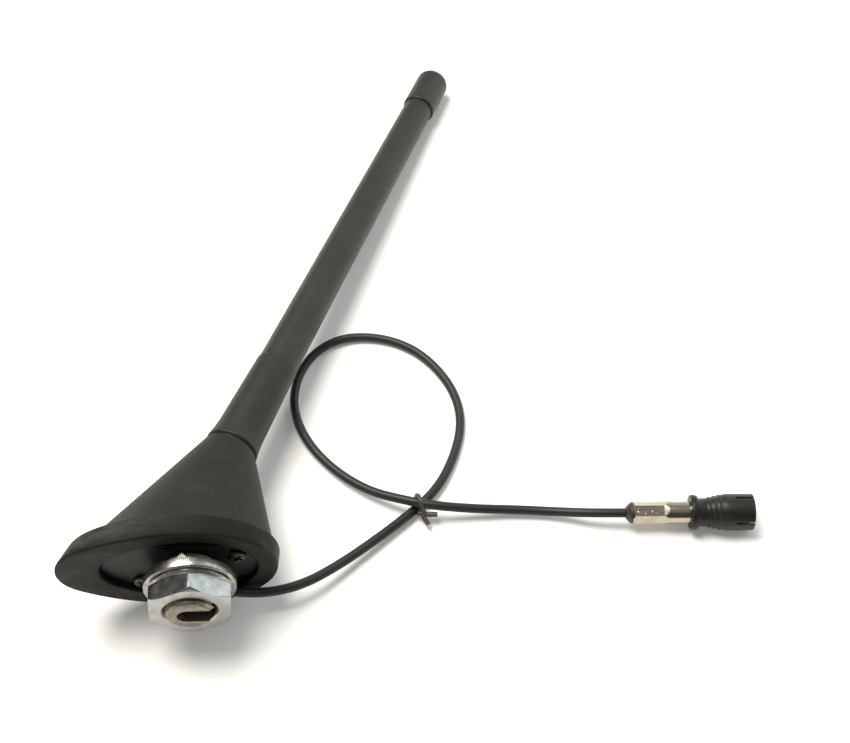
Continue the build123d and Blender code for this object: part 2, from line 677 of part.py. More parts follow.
def connector_shroud():
    start = SHROUD_START
    corners = [
        (SHROUD_COLLAR_R - SHROUD_EDGE, start),
        (SHROUD_COLLAR_R, start + SHROUD_EDGE),
        (SHROUD_COLLAR_R, start + SHROUD_COLLAR - SHROUD_EDGE),
        (SHROUD_NECK_R, start + SHROUD_COLLAR + SHROUD_EDGE),
        (SHROUD_NECK_R, start + SHROUD_NECK_END),
    ]
    slope = (SHROUD_R - SHROUD_NECK_R) / (SHROUD_FLARE_END - SHROUD_NECK_END)
    for index in range(RIB_COUNT):
        at = RIB_FIRST + index * RIB_PITCH
        skin = SHROUD_NECK_R + (at - SHROUD_NECK_END) * slope
        corners += [
            (skin, start + at),
            (skin + RIB_HEIGHT, start + at + RIB_WIDTH / 3),
            (skin + RIB_HEIGHT, start + at + RIB_WIDTH * 2 / 3),
            (skin + RIB_WIDTH * slope, start + at + RIB_WIDTH),
        ]
    corners += [
        (SHROUD_R, start + SHROUD_FLARE_END),
        (SHROUD_R, SHROUD_END - SHROUD_EDGE),
        (SHROUD_R - SHROUD_EDGE, SHROUD_END),
        (0, SHROUD_END),
        (0, start),
    ]
    shroud = turned(corners)
    shroud -= cylinder(SLEEVE_R + SEAT_CLEARANCE, start - 1, INSULATOR_START)
    shroud -= cylinder(INSULATOR_R + SEAT_CLEARANCE, INSULATOR_START, MOUTH_START)
    shroud -= cylinder(MOUTH_R, MOUTH_START, SHROUD_END + 1)
    slot = block(
        (0, -MOUTH_SLOT_WIDTH / 2, SHROUD_END - MOUTH_SLOT_LENGTH),
        (SHROUD_R + 1, MOUTH_SLOT_WIDTH / 2, SHROUD_END + 1),
    )
    for index in range(MOUTH_SLOT_COUNT):
        shroud -= Rot(Z=MOUTH_SLOT_TURN + index * 360 / MOUTH_SLOT_COUNT) * slot
    return shroud


def connector_insulator():
    return ring(INSULATOR_R, CONTACT_R + SEAT_CLEARANCE, INSULATOR_START, MOUTH_START)


def connector_contact():
    end = MOUTH_START - SEAT_CLEARANCE
    return cylinder(CONTACT_R, INSULATOR_START, end) - cylinder(CONTACT_HOLE_R, end - 4, end + 1)


def cable_tie():
    """Wire loop round both strands at the crossing, with its two twisted ends."""
    height = TIE_HOLE_TOP - TIE_HOLE_BOTTOM
    middle = (TIE_HOLE_TOP + TIE_HOLE_BOTTOM) / 2
    inner = RectangleRounded(TIE_HOLE_WIDTH, height, TIE_HOLE_R)
    outer = RectangleRounded(
        TIE_HOLE_WIDTH + 2 * TIE_THICKNESS,
        height + 2 * TIE_THICKNESS,
        TIE_HOLE_R + TIE_THICKNESS,
    )
    place = Pos(TIE_X, TIE_Y, middle) * Rot(Z=TIE_HEADING)
    loop = place * extrude(Plane.YZ * (outer - inner), amount=TIE_WIDTH / 2, both=True)
    root = point_in(place, 0, -(TIE_HOLE_WIDTH + TIE_THICKNESS) / 2, 0)
    for length, heading in zip(TIE_END_LENGTHS, TIE_END_HEADINGS):
        end = Pos(root.X, root.Y, TIE_END_HEIGHT) * Rot(Z=heading) * Rot(Y=90) * cylinder(TIE_END_R, 0, length)
        loop += end
    return loop


BASE_PIECES = {
    "base_cover": base_cover(),
    "base_gasket": base_gasket(),
    "base_plate": base_plate(),
    "cover_screws": cover_screws(),
    "roof_stud": roof_stud(),
    "claw_washer": claw_washer(),
    "roof_nut": roof_nut(),
    "mast_socket": mast_socket(),
    "core_wire": core_wire(),
    "cable_tail": cable_tail(),
    "cable_grommet": cable_grommet(),
    "cable_clamp": cable_clamp(),
    "clamp_screws": clamp_screws(),
    "mast_seal": mast_seal(),
    "mast_ferrule": mast_ferrule(),
    "mast_stud": mast_stud(),
    "mast_core": mast_core(),
    "mast_winding": mast_winding(),
    "mast_sheath": mast_sheath(),
    "mast_cap": mast_cap(),
}


def turned_over(roll):
    """Rotation from the upright frame to lying on its side with a given roll about the stud axis."""
    return Rot(X=-LIE_PITCH) * Rot(Y=roll) * Rot(X=-90)


def lowest(node, roll):
    """Height of a piece's lowest point once it is turned over."""
    return (turned_over(roll) * BASE_PIECES[node]).bounding_box().min.Z


def resting_roll():
    """Roll at which the gasket's rim and the mast's tip touch the floor together."""
    low = 0.0
    high = LIE_ROLL_LIMIT
    for _ in range(LIE_STEPS):
        middle = (low + high) / 2
        if lowest("mast_cap", middle) > lowest("base_gasket", middle):
            low = middle
        else:
            high = middle
    return (low + high) / 2


LIE_ROLL = resting_roll()
OVER = turned_over(LIE_ROLL)
BOX = Compound(children=[OVER * piece for piece in BASE_PIECES.values()]).bounding_box()
LIE = Pos(-(BOX.min.X + BOX.max.X) / 2, -(BOX.min.Y + BOX.max.Y) / 2, -BOX.min.Z) * OVER
pieces = {name: LIE * piece for name, piece in BASE_PIECES.items()}

# The lead: out of the grommet, over the floor in one loop, and into the connector
slope = math.radians(OUTLET_SLOPE)
outlet = point_in(LIE, OUTLET_X, TAIL_Y, OUTLET_Z)
after_x = OUTLET_X + OUTLET_RUN * math.cos(slope)
after_outlet = point_in(LIE, after_x, TAIL_Y, OUTLET_Z - OUTLET_RUN * math.sin(slope))
connector_height = SHROUD_R + FLOOR_CLEARANCE
CONNECTOR = Pos(CONNECTOR_X, CONNECTOR_Y, connector_height) * Rot(Z=CONNECTOR_HEADING) * Rot(Y=90)
lead_end = CONNECTOR.position
before_end = point_in(CONNECTOR, 0, 0, -CONNECTOR_RUN)
lead_points = [tuple(outlet), tuple(after_outlet)] + LEAD_POINTS + [tuple(before_end), tuple(lead_end)]
lead_bends = largest_bends(lead_points)
lead, lead_length = tube(lead_points, COAX_R, lead_bends)
pieces["coax_cable"] = lead
pieces["cable_tie"] = cable_tie()
pieces["connector_boot"] = CONNECTOR * connector_boot()
pieces["connector_sleeve"] = CONNECTOR * connector_sleeve()
pieces["connector_shroud"] = CONNECTOR * connector_shroud()
pieces["connector_insulator"] = CONNECTOR * connector_insulator()
pieces["connector_contact"] = CONNECTOR * connector_contact()

os.makedirs("parts", exist_ok=True)
for name, piece in pieces.items():
    export_step(piece, f"parts/{name}.step")

section_volume = math.pi * COAX_R**2 * lead_length
print("roll", round(LIE_ROLL, 3), "lie", LIE)
print("lead length", round(lead_length, 1), "volume ratio", round(lead.volume / section_volume, 5))
print("lead bends", [round(bend, 1) for bend in lead_bends])
print("stud axis", point_in(LIE, 0, 0, 0), point_in(LIE, 0, 0, -1) - point_in(LIE, 0, 0, 0))
mast = LIE * MAST_FRAME
print("mast axis", point_in(mast, 0, 0, 0), point_in(mast, 0, 0, 1) - point_in(mast, 0, 0, 0))
print("lead points", [tuple(round(c, 2) for c in point) for point in lead_points])
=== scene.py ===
# %% [markdown]
# # A car roof antenna
# The antenna lies on its side: a skewed cone with a rubber gasket under it, a slotted stud with a claw
# washer and a nut, a mast that screws into the cone, and a thin coax lead that loops once on the floor.
# The measured solids are loaded first and stay where they are. Everything below dresses them.

# %% Load the measured frame
import bmesh
import bpy
import json
import math
from mathutils import Matrix, Vector
from mathutils.noise import noise as noise_at


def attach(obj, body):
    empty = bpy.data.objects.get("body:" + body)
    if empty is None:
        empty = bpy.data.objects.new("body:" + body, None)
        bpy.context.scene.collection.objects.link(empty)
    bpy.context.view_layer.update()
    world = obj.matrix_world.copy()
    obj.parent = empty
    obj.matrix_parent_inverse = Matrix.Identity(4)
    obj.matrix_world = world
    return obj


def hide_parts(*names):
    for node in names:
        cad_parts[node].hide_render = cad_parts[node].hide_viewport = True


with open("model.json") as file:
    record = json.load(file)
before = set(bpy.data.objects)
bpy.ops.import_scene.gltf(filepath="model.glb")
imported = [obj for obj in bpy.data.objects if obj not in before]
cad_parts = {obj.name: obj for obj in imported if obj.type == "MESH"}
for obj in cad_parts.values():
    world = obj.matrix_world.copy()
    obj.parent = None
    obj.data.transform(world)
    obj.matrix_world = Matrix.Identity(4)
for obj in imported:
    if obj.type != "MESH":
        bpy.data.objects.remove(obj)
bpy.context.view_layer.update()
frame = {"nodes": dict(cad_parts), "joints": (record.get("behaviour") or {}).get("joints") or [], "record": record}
nodes = frame["nodes"]
joints = {joint["name"]: joint for joint in frame["joints"]}
mounts = {mount["name"]: mount for mount in frame["record"]["mounts"]}
MM = 0.001

# %% [markdown]
# ## Two working places
# The base and the connector each have an axis of their own. Drawing a piece upright on its axis in
# millimetres and then carrying it over is easier than drawing it where it lies. The axes come from the
# joints and the connector's mount, so nothing is measured twice.

# %% Places of the base and the connector
MOUTH_AT = 33.75


def place(origin, z_axis, y_axis):
    """Matrix from a piece's own millimetres, with its axis on Z, to the finished place in metres."""
    z = Vector(z_axis).normalized()
    y = Vector(y_axis).normalized()
    turn = Matrix((y.cross(z), y, z)).transposed().to_4x4()
    turn.translation = Vector(origin)
    return turn @ Matrix.Scale(MM, 4)


stud_up = -Vector(joints["nut_turn"]["axis"])
mast_up = Vector(joints["mast_unscrew"]["axis"])
plug_axis = Vector(mounts["connector_mouth"]["axis"])
plug_origin = Vector(mounts["connector_mouth"]["pos_m"]) - plug_axis * MOUTH_AT * MM
BASE = place(joints["nut_turn"]["pos_m"], stud_up, stud_up.cross(mast_up))
PLUG = place(plug_origin, plug_axis, Vector((0, 0, 1)).cross(plug_axis))
print("base at", BASE.translation, "connector at", PLUG.translation)

# %% [markdown]
# ## Camera
# The view looks down at about fifty degrees from the side of the nut, from close by, so the base looks large
# and the mast's tip small. Distance and lens were solved together from the outlines.

# %% Camera
CAMERA_AT = Vector((16.85, -286.8, 359.6)) * MM
CAMERA_LOOK = Vector((0.06058, 0.59293, -0.80297))
LENS_MM = 58.62
SENSOR_MM = 36.0
NEAR_CLIP = 0.01


def new_object(name, data):
    """Object with the given data, linked into the scene."""
    thing = bpy.data.objects.new(name, data)
    bpy.context.scene.collection.objects.link(thing)
    return thing


camera_data = bpy.data.cameras.new("view")
camera_data.lens = LENS_MM
camera_data.sensor_fit = "HORIZONTAL"
camera_data.sensor_width = SENSOR_MM
camera_data.clip_start = NEAR_CLIP
camera = new_object("view", camera_data)
camera.location = CAMERA_AT
camera.rotation_euler = CAMERA_LOOK.to_track_quat("-Z", "Y").to_euler()
bpy.context.scene.camera = camera
print("camera", tuple(round(c, 3) for c in CAMERA_AT))

# %% [markdown]
# ## Floor and light
# A white sheet with one broad soft light above and behind to the left, and a pale room around. Bright metal
# shows its surroundings, so the room has darker sides and one bright side for the nut to mirror. Seen
# straight on or in metal the floor gets a little glow, which keeps it white round its shadows. Floor
# and room are built from nodes, as all finishes are, so the helpers for nodes come first.

# %% Node helpers
# Places of the colour sockets on a Mix node
MIX_FIRST = 6
MIX_SECOND = 7
MIX_RESULT = 2


def new_material(name):
    """Empty node material and its tree."""
    material = bpy.data.materials.new(name)
    material.use_nodes = True
    tree = material.node_tree
    tree.nodes.clear()
    return material, tree


def add(tree, kind, **settings):
    """Adds a node. Settings that name a socket go to the socket, the others to the node."""
    node = tree.nodes.new(kind)
    for key, value in settings.items():
        label = key.replace("_", " ").title()
        if label in node.inputs:
            node.inputs[label].default_value = value
        else:
            setattr(node, key, value)
    return node


def blend_colours(tree, factor, first, second):
    """Mix of two colours, each a plain one or a socket."""
    mix = add(tree, "ShaderNodeMix", data_type="RGBA")
    tree.links.new(factor, mix.inputs["Factor"])
    for slot, colour in ((MIX_FIRST, first), (MIX_SECOND, second)):
        if isinstance(colour, tuple):
            mix.inputs[slot].default_value = colour
        else:
            tree.links.new(colour, mix.inputs[slot])
    return mix.outputs[MIX_RESULT]


# %% Floor
FLOOR_SIZE = 6.0
FLOOR_COLOUR = (0.87, 0.853, 0.82, 1)
FLOOR_GLOW = 0.14


def seen_directly(tree):
    """Mask of 1 for what the camera, a reflection or glass sees, and 0 for the light that bounces."""
    path = add(tree, "ShaderNodeLightPath")
    shiny = add(tree, "ShaderNodeMath", operation="MAXIMUM")
    seen = add(tree, "ShaderNodeMath", operation="MAXIMUM")
    tree.links.new(path.outputs["Is Glossy Ray"], shiny.inputs[0])
    tree.links.new(path.outputs["Is Transmission Ray"], shiny.inputs[1])
    tree.links.new(path.outputs["Is Camera Ray"], seen.inputs[0])
    tree.links.new(shiny.outputs[0], seen.inputs[1])
    return seen.outputs[0]


def floor_material():
    """White sheet with a little glow for whatever sees it directly."""
    material, tree = new_material("floor_sheet")
    sheet = add(tree, "ShaderNodeBsdfDiffuse", color=FLOOR_COLOUR)
    glow = add(tree, "ShaderNodeEmission", color=(1, 1, 1, 1))
    strength = add(tree, "ShaderNodeMath", operation="MULTIPLY")
    strength.inputs[1].default_value = FLOOR_GLOW
    both = add(tree, "ShaderNodeAddShader")
    out = add(tree, "ShaderNodeOutputMaterial")
    tree.links.new(seen_directly(tree), strength.inputs[0])
    tree.links.new(strength.outputs[0], glow.inputs["Strength"])
    tree.links.new(sheet.outputs[0], both.inputs[0])
    tree.links.new(glow.outputs[0], both.inputs[1])
    tree.links.new(both.outputs[0], out.inputs["Surface"])
    return material


bpy.ops.mesh.primitive_plane_add(size=FLOOR_SIZE)
floor = bpy.context.object
floor.name = "floor"
floor.data.materials.append(floor_material())
print("floor", FLOOR_SIZE, "m")

# %% Lamp and room
KEY_LAMP = dict(at=(-0.30, 0.26, 1.05), size=0.75, watts=20.0, colour=(1.0, 0.975, 0.93))
ROOM_LIGHT = (0.94, 0.93, 0.90, 1)
ROOM_STRENGTH = 0.40
ROOM_PATCHES = [
    dict(towards=(-0.62, 0.60, 0.50), starts=0.80, full=0.97, colour=(0.06, 0.065, 0.07, 1)),
    dict(towards=(0.10, -1.0, 0.25), starts=0.30, full=0.95, colour=(0.24, 0.23, 0.21, 1)),
    dict(towards=(0.77, 0.59, 0.22), starts=0.72, full=0.93, colour=(4.2, 4.55, 4.75, 1)),
]


def add_lamp(name, at, size, watts, colour):
    """Round area lamp that faces the middle of the scene."""
    data = bpy.data.lights.new(name, "AREA")
    data.shape = "DISK"
    data.size = size
    data.energy = watts
    data.color = colour
    lamp = new_object(name, data)
    lamp.location = at
    lamp.rotation_euler = (-Vector(at)).to_track_quat("-Z", "Y").to_euler()


def make_room():
    """World: pale all round, with soft patches of dark and light for bright metal to show."""
    world = bpy.data.worlds.new("room")
    world.use_nodes = True
    tree = world.node_tree
    tree.nodes.clear()
    where = add(tree, "ShaderNodeTexCoord").outputs["Generated"]
    colour = add(tree, "ShaderNodeRGB").outputs[0]
    colour.default_value = ROOM_LIGHT
    for patch in ROOM_PATCHES:
        facing = add(tree, "ShaderNodeVectorMath", operation="DOT_PRODUCT")
        facing.inputs[1].default_value = Vector(patch["towards"]).normalized()
        share = add(tree, "ShaderNodeMapRange", interpolation_type="SMOOTHSTEP")
        share.inputs["From Min"].default_value = patch["starts"]
        share.inputs["From Max"].default_value = patch["full"]
        tree.links.new(where, facing.inputs[0])
        tree.links.new(facing.outputs["Value"], share.inputs["Value"])
        colour = blend_colours(tree, share.outputs["Result"], colour, patch["colour"])
    back = add(tree, "ShaderNodeBackground", strength=ROOM_STRENGTH)
    out = add(tree, "ShaderNodeOutputWorld")
    tree.links.new(colour, back.inputs["Color"])
    tree.links.new(back.outputs[0], out.inputs["Surface"])
    bpy.context.scene.world = world


add_lamp("key", **KEY_LAMP)
make_room()
bpy.context.scene.view_settings.view_transform = "Standard"
print("lamp and room made,", len(ROOM_PATCHES), "patches")

# %% [markdown]
# ## Shared effects
# Three effects turn up on several pieces, so each is a node group: the fine grain that a mould leaves on
# rubber and plastic, the pale rub marks on what is handled, which on the gasket also paint a highlight, and
# the cloudy tone of plated metal. Each pattern reads Object coordinates, so its scale is in real millimetres.

# %% Node groups
FLOAT = "NodeSocketFloat"
COLOUR = "NodeSocketColor"
VECTOR = "NodeSocketVector"
SURFACE_OUTPUTS = [("Color", COLOUR), ("Roughness", FLOAT), ("Normal", VECTOR)]
GRAIN_SCALE = 2600.0
GRAIN_DEPTH = 0.00003
SHINE_RANGE = (0.3, 0.7)
TONE_SCALE = 45.0
TONE_RANGE = (0.35, 0.65)
PATCH_SCALE = 60.0
PATCH_RANGE = (0.48, 0.66)
STREAK_SCALE = 260.0
STREAK_RANGE = (0.40, 0.75)
STREAK_STRETCH = (0.16, 1.0, 1.0)
STREAK_TURN = (0, 0, 0.1)
CLOUD_SCALE = 350.0
CLOUD_RANGE = (0.36, 0.68)
SPECK_SCALE = 5200.0
SPECK_DEPTH = 0.00001


def new_group(name, inputs, outputs, kind="ShaderNodeTree"):
    """Empty node group with named inputs and outputs, and its two end nodes."""
    tree = bpy.data.node_groups.new(name, kind)
    for label, holds, value in inputs:
        socket = tree.interface.new_socket(label, in_out="INPUT", socket_type=holds)
        socket.default_value = value
    for label, holds in outputs:
        tree.interface.new_socket(label, in_out="OUTPUT", socket_type=holds)
    return tree, add(tree, "NodeGroupInput"), add(tree, "NodeGroupOutput")


def noise(tree, vector, scale, detail=3.0, rough=0.55):
    """Noise on a given vector. Its scale, a number or a socket, is in one over metres."""
    node = add(tree, "ShaderNodeTexNoise", detail=detail, roughness=rough)
    tree.links.new(vector, node.inputs["Vector"])
    if isinstance(scale, (int, float)):
        node.inputs["Scale"].default_value = scale
    else:
        tree.links.new(scale, node.inputs["Scale"])
    return node.outputs["Fac"]


def remap(tree, value, low, high, to_low, to_high):
    """Clamped map of one range on another. The last two may be sockets."""
    node = add(tree, "ShaderNodeMapRange", from_min=low, from_max=high)
    tree.links.new(value, node.inputs["Value"])
    for socket, end in (("To Min", to_low), ("To Max", to_high)):
        if isinstance(end, (int, float)):
            node.inputs[socket].default_value = end
        else:
            tree.links.new(end, node.inputs[socket])
    return node.outputs["Result"]


def surface_end(tree, given, result, tone, shine, height, first, second):
    """Ends a surface group: a tone between two colours, a roughness between two values, and a bump."""
    colour = blend_colours(tree, tone, given.outputs[first], given.outputs[second])
    rough = remap(tree, shine, *SHINE_RANGE, given.outputs["Smooth"], given.outputs["Rough"])
    bump = add(tree, "ShaderNodeBump", strength=1.0)
    tree.links.new(given.outputs["Depth"], bump.inputs["Distance"])
    tree.links.new(height, bump.inputs["Height"])
    tree.links.new(colour, result.inputs["Color"])
    tree.links.new(rough, result.inputs["Roughness"])
    tree.links.new(bump.outputs["Normal"], result.inputs["Normal"])


def mould_grain_group():
    """Fine grain in the bump and the roughness, and a broad change of tone."""
    inputs = [("Dark", COLOUR, (0, 0, 0, 1)), ("Light", COLOUR, (1, 1, 1, 1)), ("Grain", FLOAT, GRAIN_SCALE),
              ("Depth", FLOAT, GRAIN_DEPTH), ("Smooth", FLOAT, 0.5), ("Rough", FLOAT, 0.7)]
    tree, given, result = new_group("mould_grain", inputs, SURFACE_OUTPUTS)
    where = add(tree, "ShaderNodeTexCoord").outputs["Object"]
    fine = noise(tree, where, given.outputs["Grain"], detail=2.0)
    broad = noise(tree, where, TONE_SCALE)
    tone = remap(tree, broad, *TONE_RANGE, 0.0, 1.0)
    surface_end(tree, given, result, tone, fine, fine, "Dark", "Light")
    return tree


def rub_marks_and_highlights_group():
    """Pale streaks in patches, laid over a colour: rub marks, and on the gasket also a painted highlight."""
    inputs = [("Color", COLOUR, (0, 0, 0, 1)), ("Mark", COLOUR, (1, 1, 1, 1)), ("Amount", FLOAT, 0.5)]
    tree, given, result = new_group("rub_marks_and_highlights", inputs, [("Color", COLOUR), ("Mask", FLOAT)])
    where = add(tree, "ShaderNodeTexCoord").outputs["Object"]
    stretch = add(tree, "ShaderNodeMapping", scale=STREAK_STRETCH, rotation=STREAK_TURN)
    tree.links.new(where, stretch.inputs["Vector"])
    streak = noise(tree, stretch.outputs[0], STREAK_SCALE, detail=3.0, rough=0.5)
    # Pale patches: rub marks, and on the gasket also a painted highlight
    patch = remap(tree, noise(tree, where, PATCH_SCALE), *PATCH_RANGE, 0.0, given.outputs["Amount"])
    lines = remap(tree, streak, *STREAK_RANGE, 0.0, 1.0)
    both = add(tree, "ShaderNodeMath", operation="MULTIPLY")
    tree.links.new(patch, both.inputs[0])
    tree.links.new(lines, both.inputs[1])
    tree.links.new(both.outputs[0], result.inputs["Mask"])
    marked = blend_colours(tree, both.outputs[0], given.outputs["Color"], given.outputs["Mark"])
    tree.links.new(marked, result.inputs["Color"])
    return tree


def plating_group():
    """Cloudy tone and shine of plated metal, with specks in the bump."""
    inputs = [("Bright", COLOUR, (1, 1, 1, 1)), ("Dull", COLOUR, (0, 0, 0, 1)), ("Cloud", FLOAT, CLOUD_SCALE),
              ("Smooth", FLOAT, 0.2), ("Rough", FLOAT, 0.4), ("Depth", FLOAT, SPECK_DEPTH)]
    tree, given, result = new_group("plating", inputs, SURFACE_OUTPUTS)
    where = add(tree, "ShaderNodeTexCoord").outputs["Object"]
    cloud = noise(tree, where, given.outputs["Cloud"], detail=5.0, rough=0.6)
    speck = noise(tree, where, SPECK_SCALE, detail=2.0)
    tone = remap(tree, cloud, *CLOUD_RANGE, 0.0, 1.0)
    surface_end(tree, given, result, tone, cloud, speck, "Bright", "Dull")
    return tree


MOULD_GRAIN = mould_grain_group()
# Pale marks: rub marks, and on the gasket also a painted highlight
RUB_MARKS_AND_HIGHLIGHTS = rub_marks_and_highlights_group()
PLATING = plating_group()
print("groups", MOULD_GRAIN.name, RUB_MARKS_AND_HIGHLIGHTS.name, PLATING.name)

# %% [markdown]
# ## Finishes
# Rubber and plastic share one recipe: grain, then pale marks that are rub marks and on the gasket also a painted
# highlight, into one shader whose plain numbers sit on its own sockets. Metal has the plating group instead. Only
# the colours, the scale and the shine differ.

# %% Recipes for moulded and metal finishes
DUST_COLOUR = (0.96, 0.87, 0.70, 1)
DUST_ROUGHNESS = 0.35


def place_group(tree, group, **values):
    """Adds a node group with plain values on its inputs."""
    node = tree.nodes.new("ShaderNodeGroup")
    node.node_tree = group
    for key, value in values.items():
        node.inputs[key.title()].default_value = value
    return node


def shader_end(tree, colour, effect, **plain):
    """Principled shader fed by an effect's colour, roughness and normal."""
    shader = tree.nodes.new("ShaderNodeBsdfPrincipled")
    for key, value in plain.items():
        shader.inputs[key.replace("_", " ")].default_value = value
    out = add(tree, "ShaderNodeOutputMaterial")
    tree.links.new(colour, shader.inputs["Base Color"])
    tree.links.new(effect.outputs["Roughness"], shader.inputs["Roughness"])
    tree.links.new(effect.outputs["Normal"], shader.inputs["Normal"])
    tree.links.new(shader.outputs[0], out.inputs["Surface"])


def moulded(name, dark, light, mark, smooth, rough, grain=GRAIN_SCALE, depth=GRAIN_DEPTH, marks_and_highlights=0.4,
            specular=0.5, dust=0.0):
    """Rubber or plastic: mould grain, pale rub marks that on the gasket also paint a highlight, and a thin coat of
    dust.
    """
    material, tree = new_material(name)
    skin_grain = place_group(tree, MOULD_GRAIN, dark=dark, light=light, grain=grain, depth=depth,
                             smooth=smooth, rough=rough)
    # Pale marks laid over the grain: rub marks, and on the gasket also a painted highlight
    rubbed_and_highlit = place_group(tree, RUB_MARKS_AND_HIGHLIGHTS, mark=mark, amount=marks_and_highlights)
    tree.links.new(skin_grain.outputs["Color"], rubbed_and_highlit.inputs["Color"])
    shader_end(tree, rubbed_and_highlit.outputs["Color"], skin_grain, Specular_IOR_Level=specular, Sheen_Weight=dust,
               Sheen_Roughness=DUST_ROUGHNESS, Sheen_Tint=DUST_COLOUR)
    return material


def metal(name, bright, dull, smooth, rough, cloud=CLOUD_SCALE, depth=SPECK_DEPTH):
    """Plated, cast or turned metal between a bright and a dull tone."""
    material, tree = new_material(name)
    plate = place_group(tree, PLATING, bright=bright, dull=dull, cloud=cloud, smooth=smooth, rough=rough,
                        depth=depth)
    shader_end(tree, plate.outputs["Color"], plate, Metallic=1.0)
    return material


# %% Rubber and plastic
cover_skin = moulded("cover_skin", (0.0105, 0.0096, 0.0070, 1), (0.0150, 0.0138, 0.0102, 1),
                     (0.032, 0.0295, 0.0235, 1), 0.54, 0.70, specular=0.22, dust=0.06)
# The gasket's bright pale marks are partly rub marks and partly a painted highlight
gasket_rubber = moulded("gasket_rubber", (0.0075, 0.007, 0.005, 1), (0.0115, 0.0107, 0.0078, 1),
                        (0.085, 0.081, 0.072, 1), 0.48, 0.62, grain=1800.0, marks_and_highlights=0.62, specular=0.18)
plate_plastic = moulded("plate_plastic", (0.010, 0.010, 0.009, 1), (0.015, 0.015, 0.013, 1),
                        (0.04, 0.04, 0.036, 1), 0.34, 0.5, marks_and_highlights=0.3, specular=0.3)
mast_rubber = moulded("mast_rubber", (0.013, 0.0118, 0.0086, 1), (0.018, 0.0164, 0.0120, 1),
                      (0.045, 0.042, 0.036, 1), 0.46, 0.60, grain=3200.0, marks_and_highlights=0.3, specular=0.30, dust=0.10)
sheath_rubber = moulded("sheath_rubber", (0.015, 0.0136, 0.0099, 1), (0.020, 0.0182, 0.0134, 1),
                        (0.05, 0.047, 0.040, 1), 0.42, 0.56, grain=3200.0, marks_and_highlights=0.3, specular=0.34,
                        dust=0.16)
cable_jacket = moulded("cable_jacket", (0.015, 0.0145, 0.0125, 1), (0.021, 0.020, 0.0175, 1),
                       (0.05, 0.048, 0.042, 1), 0.38, 0.52, grain=4200.0, depth=0.00001, marks_and_highlights=0.35,
                       specular=0.3)
boot_plastic = moulded("boot_plastic", (0.024, 0.023, 0.022, 1), (0.032, 0.030, 0.028, 1),
                       (0.07, 0.068, 0.06, 1), 0.35, 0.5, marks_and_highlights=0.3)
shroud_plastic = moulded("shroud_plastic", (0.010, 0.0093, 0.0078, 1), (0.016, 0.015, 0.0128, 1),
                         (0.09, 0.085, 0.075, 1), 0.28, 0.44, grain=1500.0, marks_and_highlights=0.4, specular=0.26)
tie_plastic = moulded("tie_plastic", (0.045, 0.037, 0.030, 1), (0.065, 0.054, 0.044, 1),
                      (0.12, 0.10, 0.085, 1), 0.4, 0.55)
glass_fibre = moulded("glass_fibre", (0.55, 0.52, 0.42, 1), (0.65, 0.62, 0.5, 1),
                      (0.7, 0.68, 0.6, 1), 0.4, 0.5)
insulator_plastic = moulded("insulator_plastic", (0.78, 0.78, 0.74, 1), (0.84, 0.84, 0.8, 1),
                            (0.9, 0.9, 0.88, 1), 0.35, 0.5)
print("moulded finishes made")

# %% Metals
zinc_plate = metal("zinc_plate", (0.365, 0.373, 0.372, 1), (0.290, 0.286, 0.262, 1), 0.17, 0.31)
pressed_zinc = metal("pressed_zinc", (0.40, 0.393, 0.372, 1), (0.26, 0.246, 0.214, 1), 0.22, 0.40,
                     cloud=700.0)
sheared_steel = metal("sheared_steel", (0.17, 0.166, 0.156, 1), (0.10, 0.096, 0.088, 1), 0.28, 0.44)
stud_casting = metal("stud_casting", (0.30, 0.272, 0.225, 1), (0.17, 0.15, 0.12, 1), 0.34, 0.56, cloud=900.0,
                     depth=0.00006)
screw_plate = metal("screw_plate", (0.095, 0.084, 0.066, 1), (0.055, 0.048, 0.037, 1), 0.36, 0.52)
nickel_plate = metal("nickel_plate", (0.47, 0.425, 0.345, 1), (0.37, 0.33, 0.26, 1), 0.12, 0.24)
turned_brass = metal("turned_brass", (0.75, 0.57, 0.27, 1), (0.62, 0.45, 0.2, 1), 0.2, 0.35)
drawn_copper = metal("drawn_copper", (0.78, 0.42, 0.27, 1), (0.64, 0.33, 0.2, 1), 0.2, 0.35)
print("metals made")

# %% Finishes on the solids that stay as they are
NODE_FINISH = {
    "base_cover": cover_skin,
    "base_plate": plate_plastic,
    "cover_screws": screw_plate,
    "mast_socket": turned_brass,
    "core_wire": drawn_copper,
    "cable_tail": cable_jacket,
    "cable_grommet": plate_plastic,
    "cable_clamp": zinc_plate,
    "clamp_screws": zinc_plate,
    "mast_seal": plate_plastic,
    "mast_ferrule": mast_rubber,
    "mast_stud": turned_brass,
    "mast_core": glass_fibre,
    "mast_winding": drawn_copper,
    "mast_sheath": sheath_rubber,
    "mast_cap": sheath_rubber,
    "connector_insulator": insulator_plastic,
    "connector_contact": turned_brass,
}
for name, finish in NODE_FINISH.items():
    nodes[name].data.materials.clear()
    nodes[name].data.materials.append(finish)
print(len(NODE_FINISH), "solids finished")

# %% [markdown]
# ## Helpers for shapes
# Most pieces are an outline carried round an axis, with soft corners because no moulded or turned edge is
# truly sharp. One helper rounds an outline's corners, one lays faces between neighbouring outlines, and
# one turns the result into a finished piece that rides on its body.

# %% Outline and mesh helpers
AROUND = 180
EDGE_SHARE = 0.45
POINT_WELD = 1e-7
SOFT_EDGE = 38


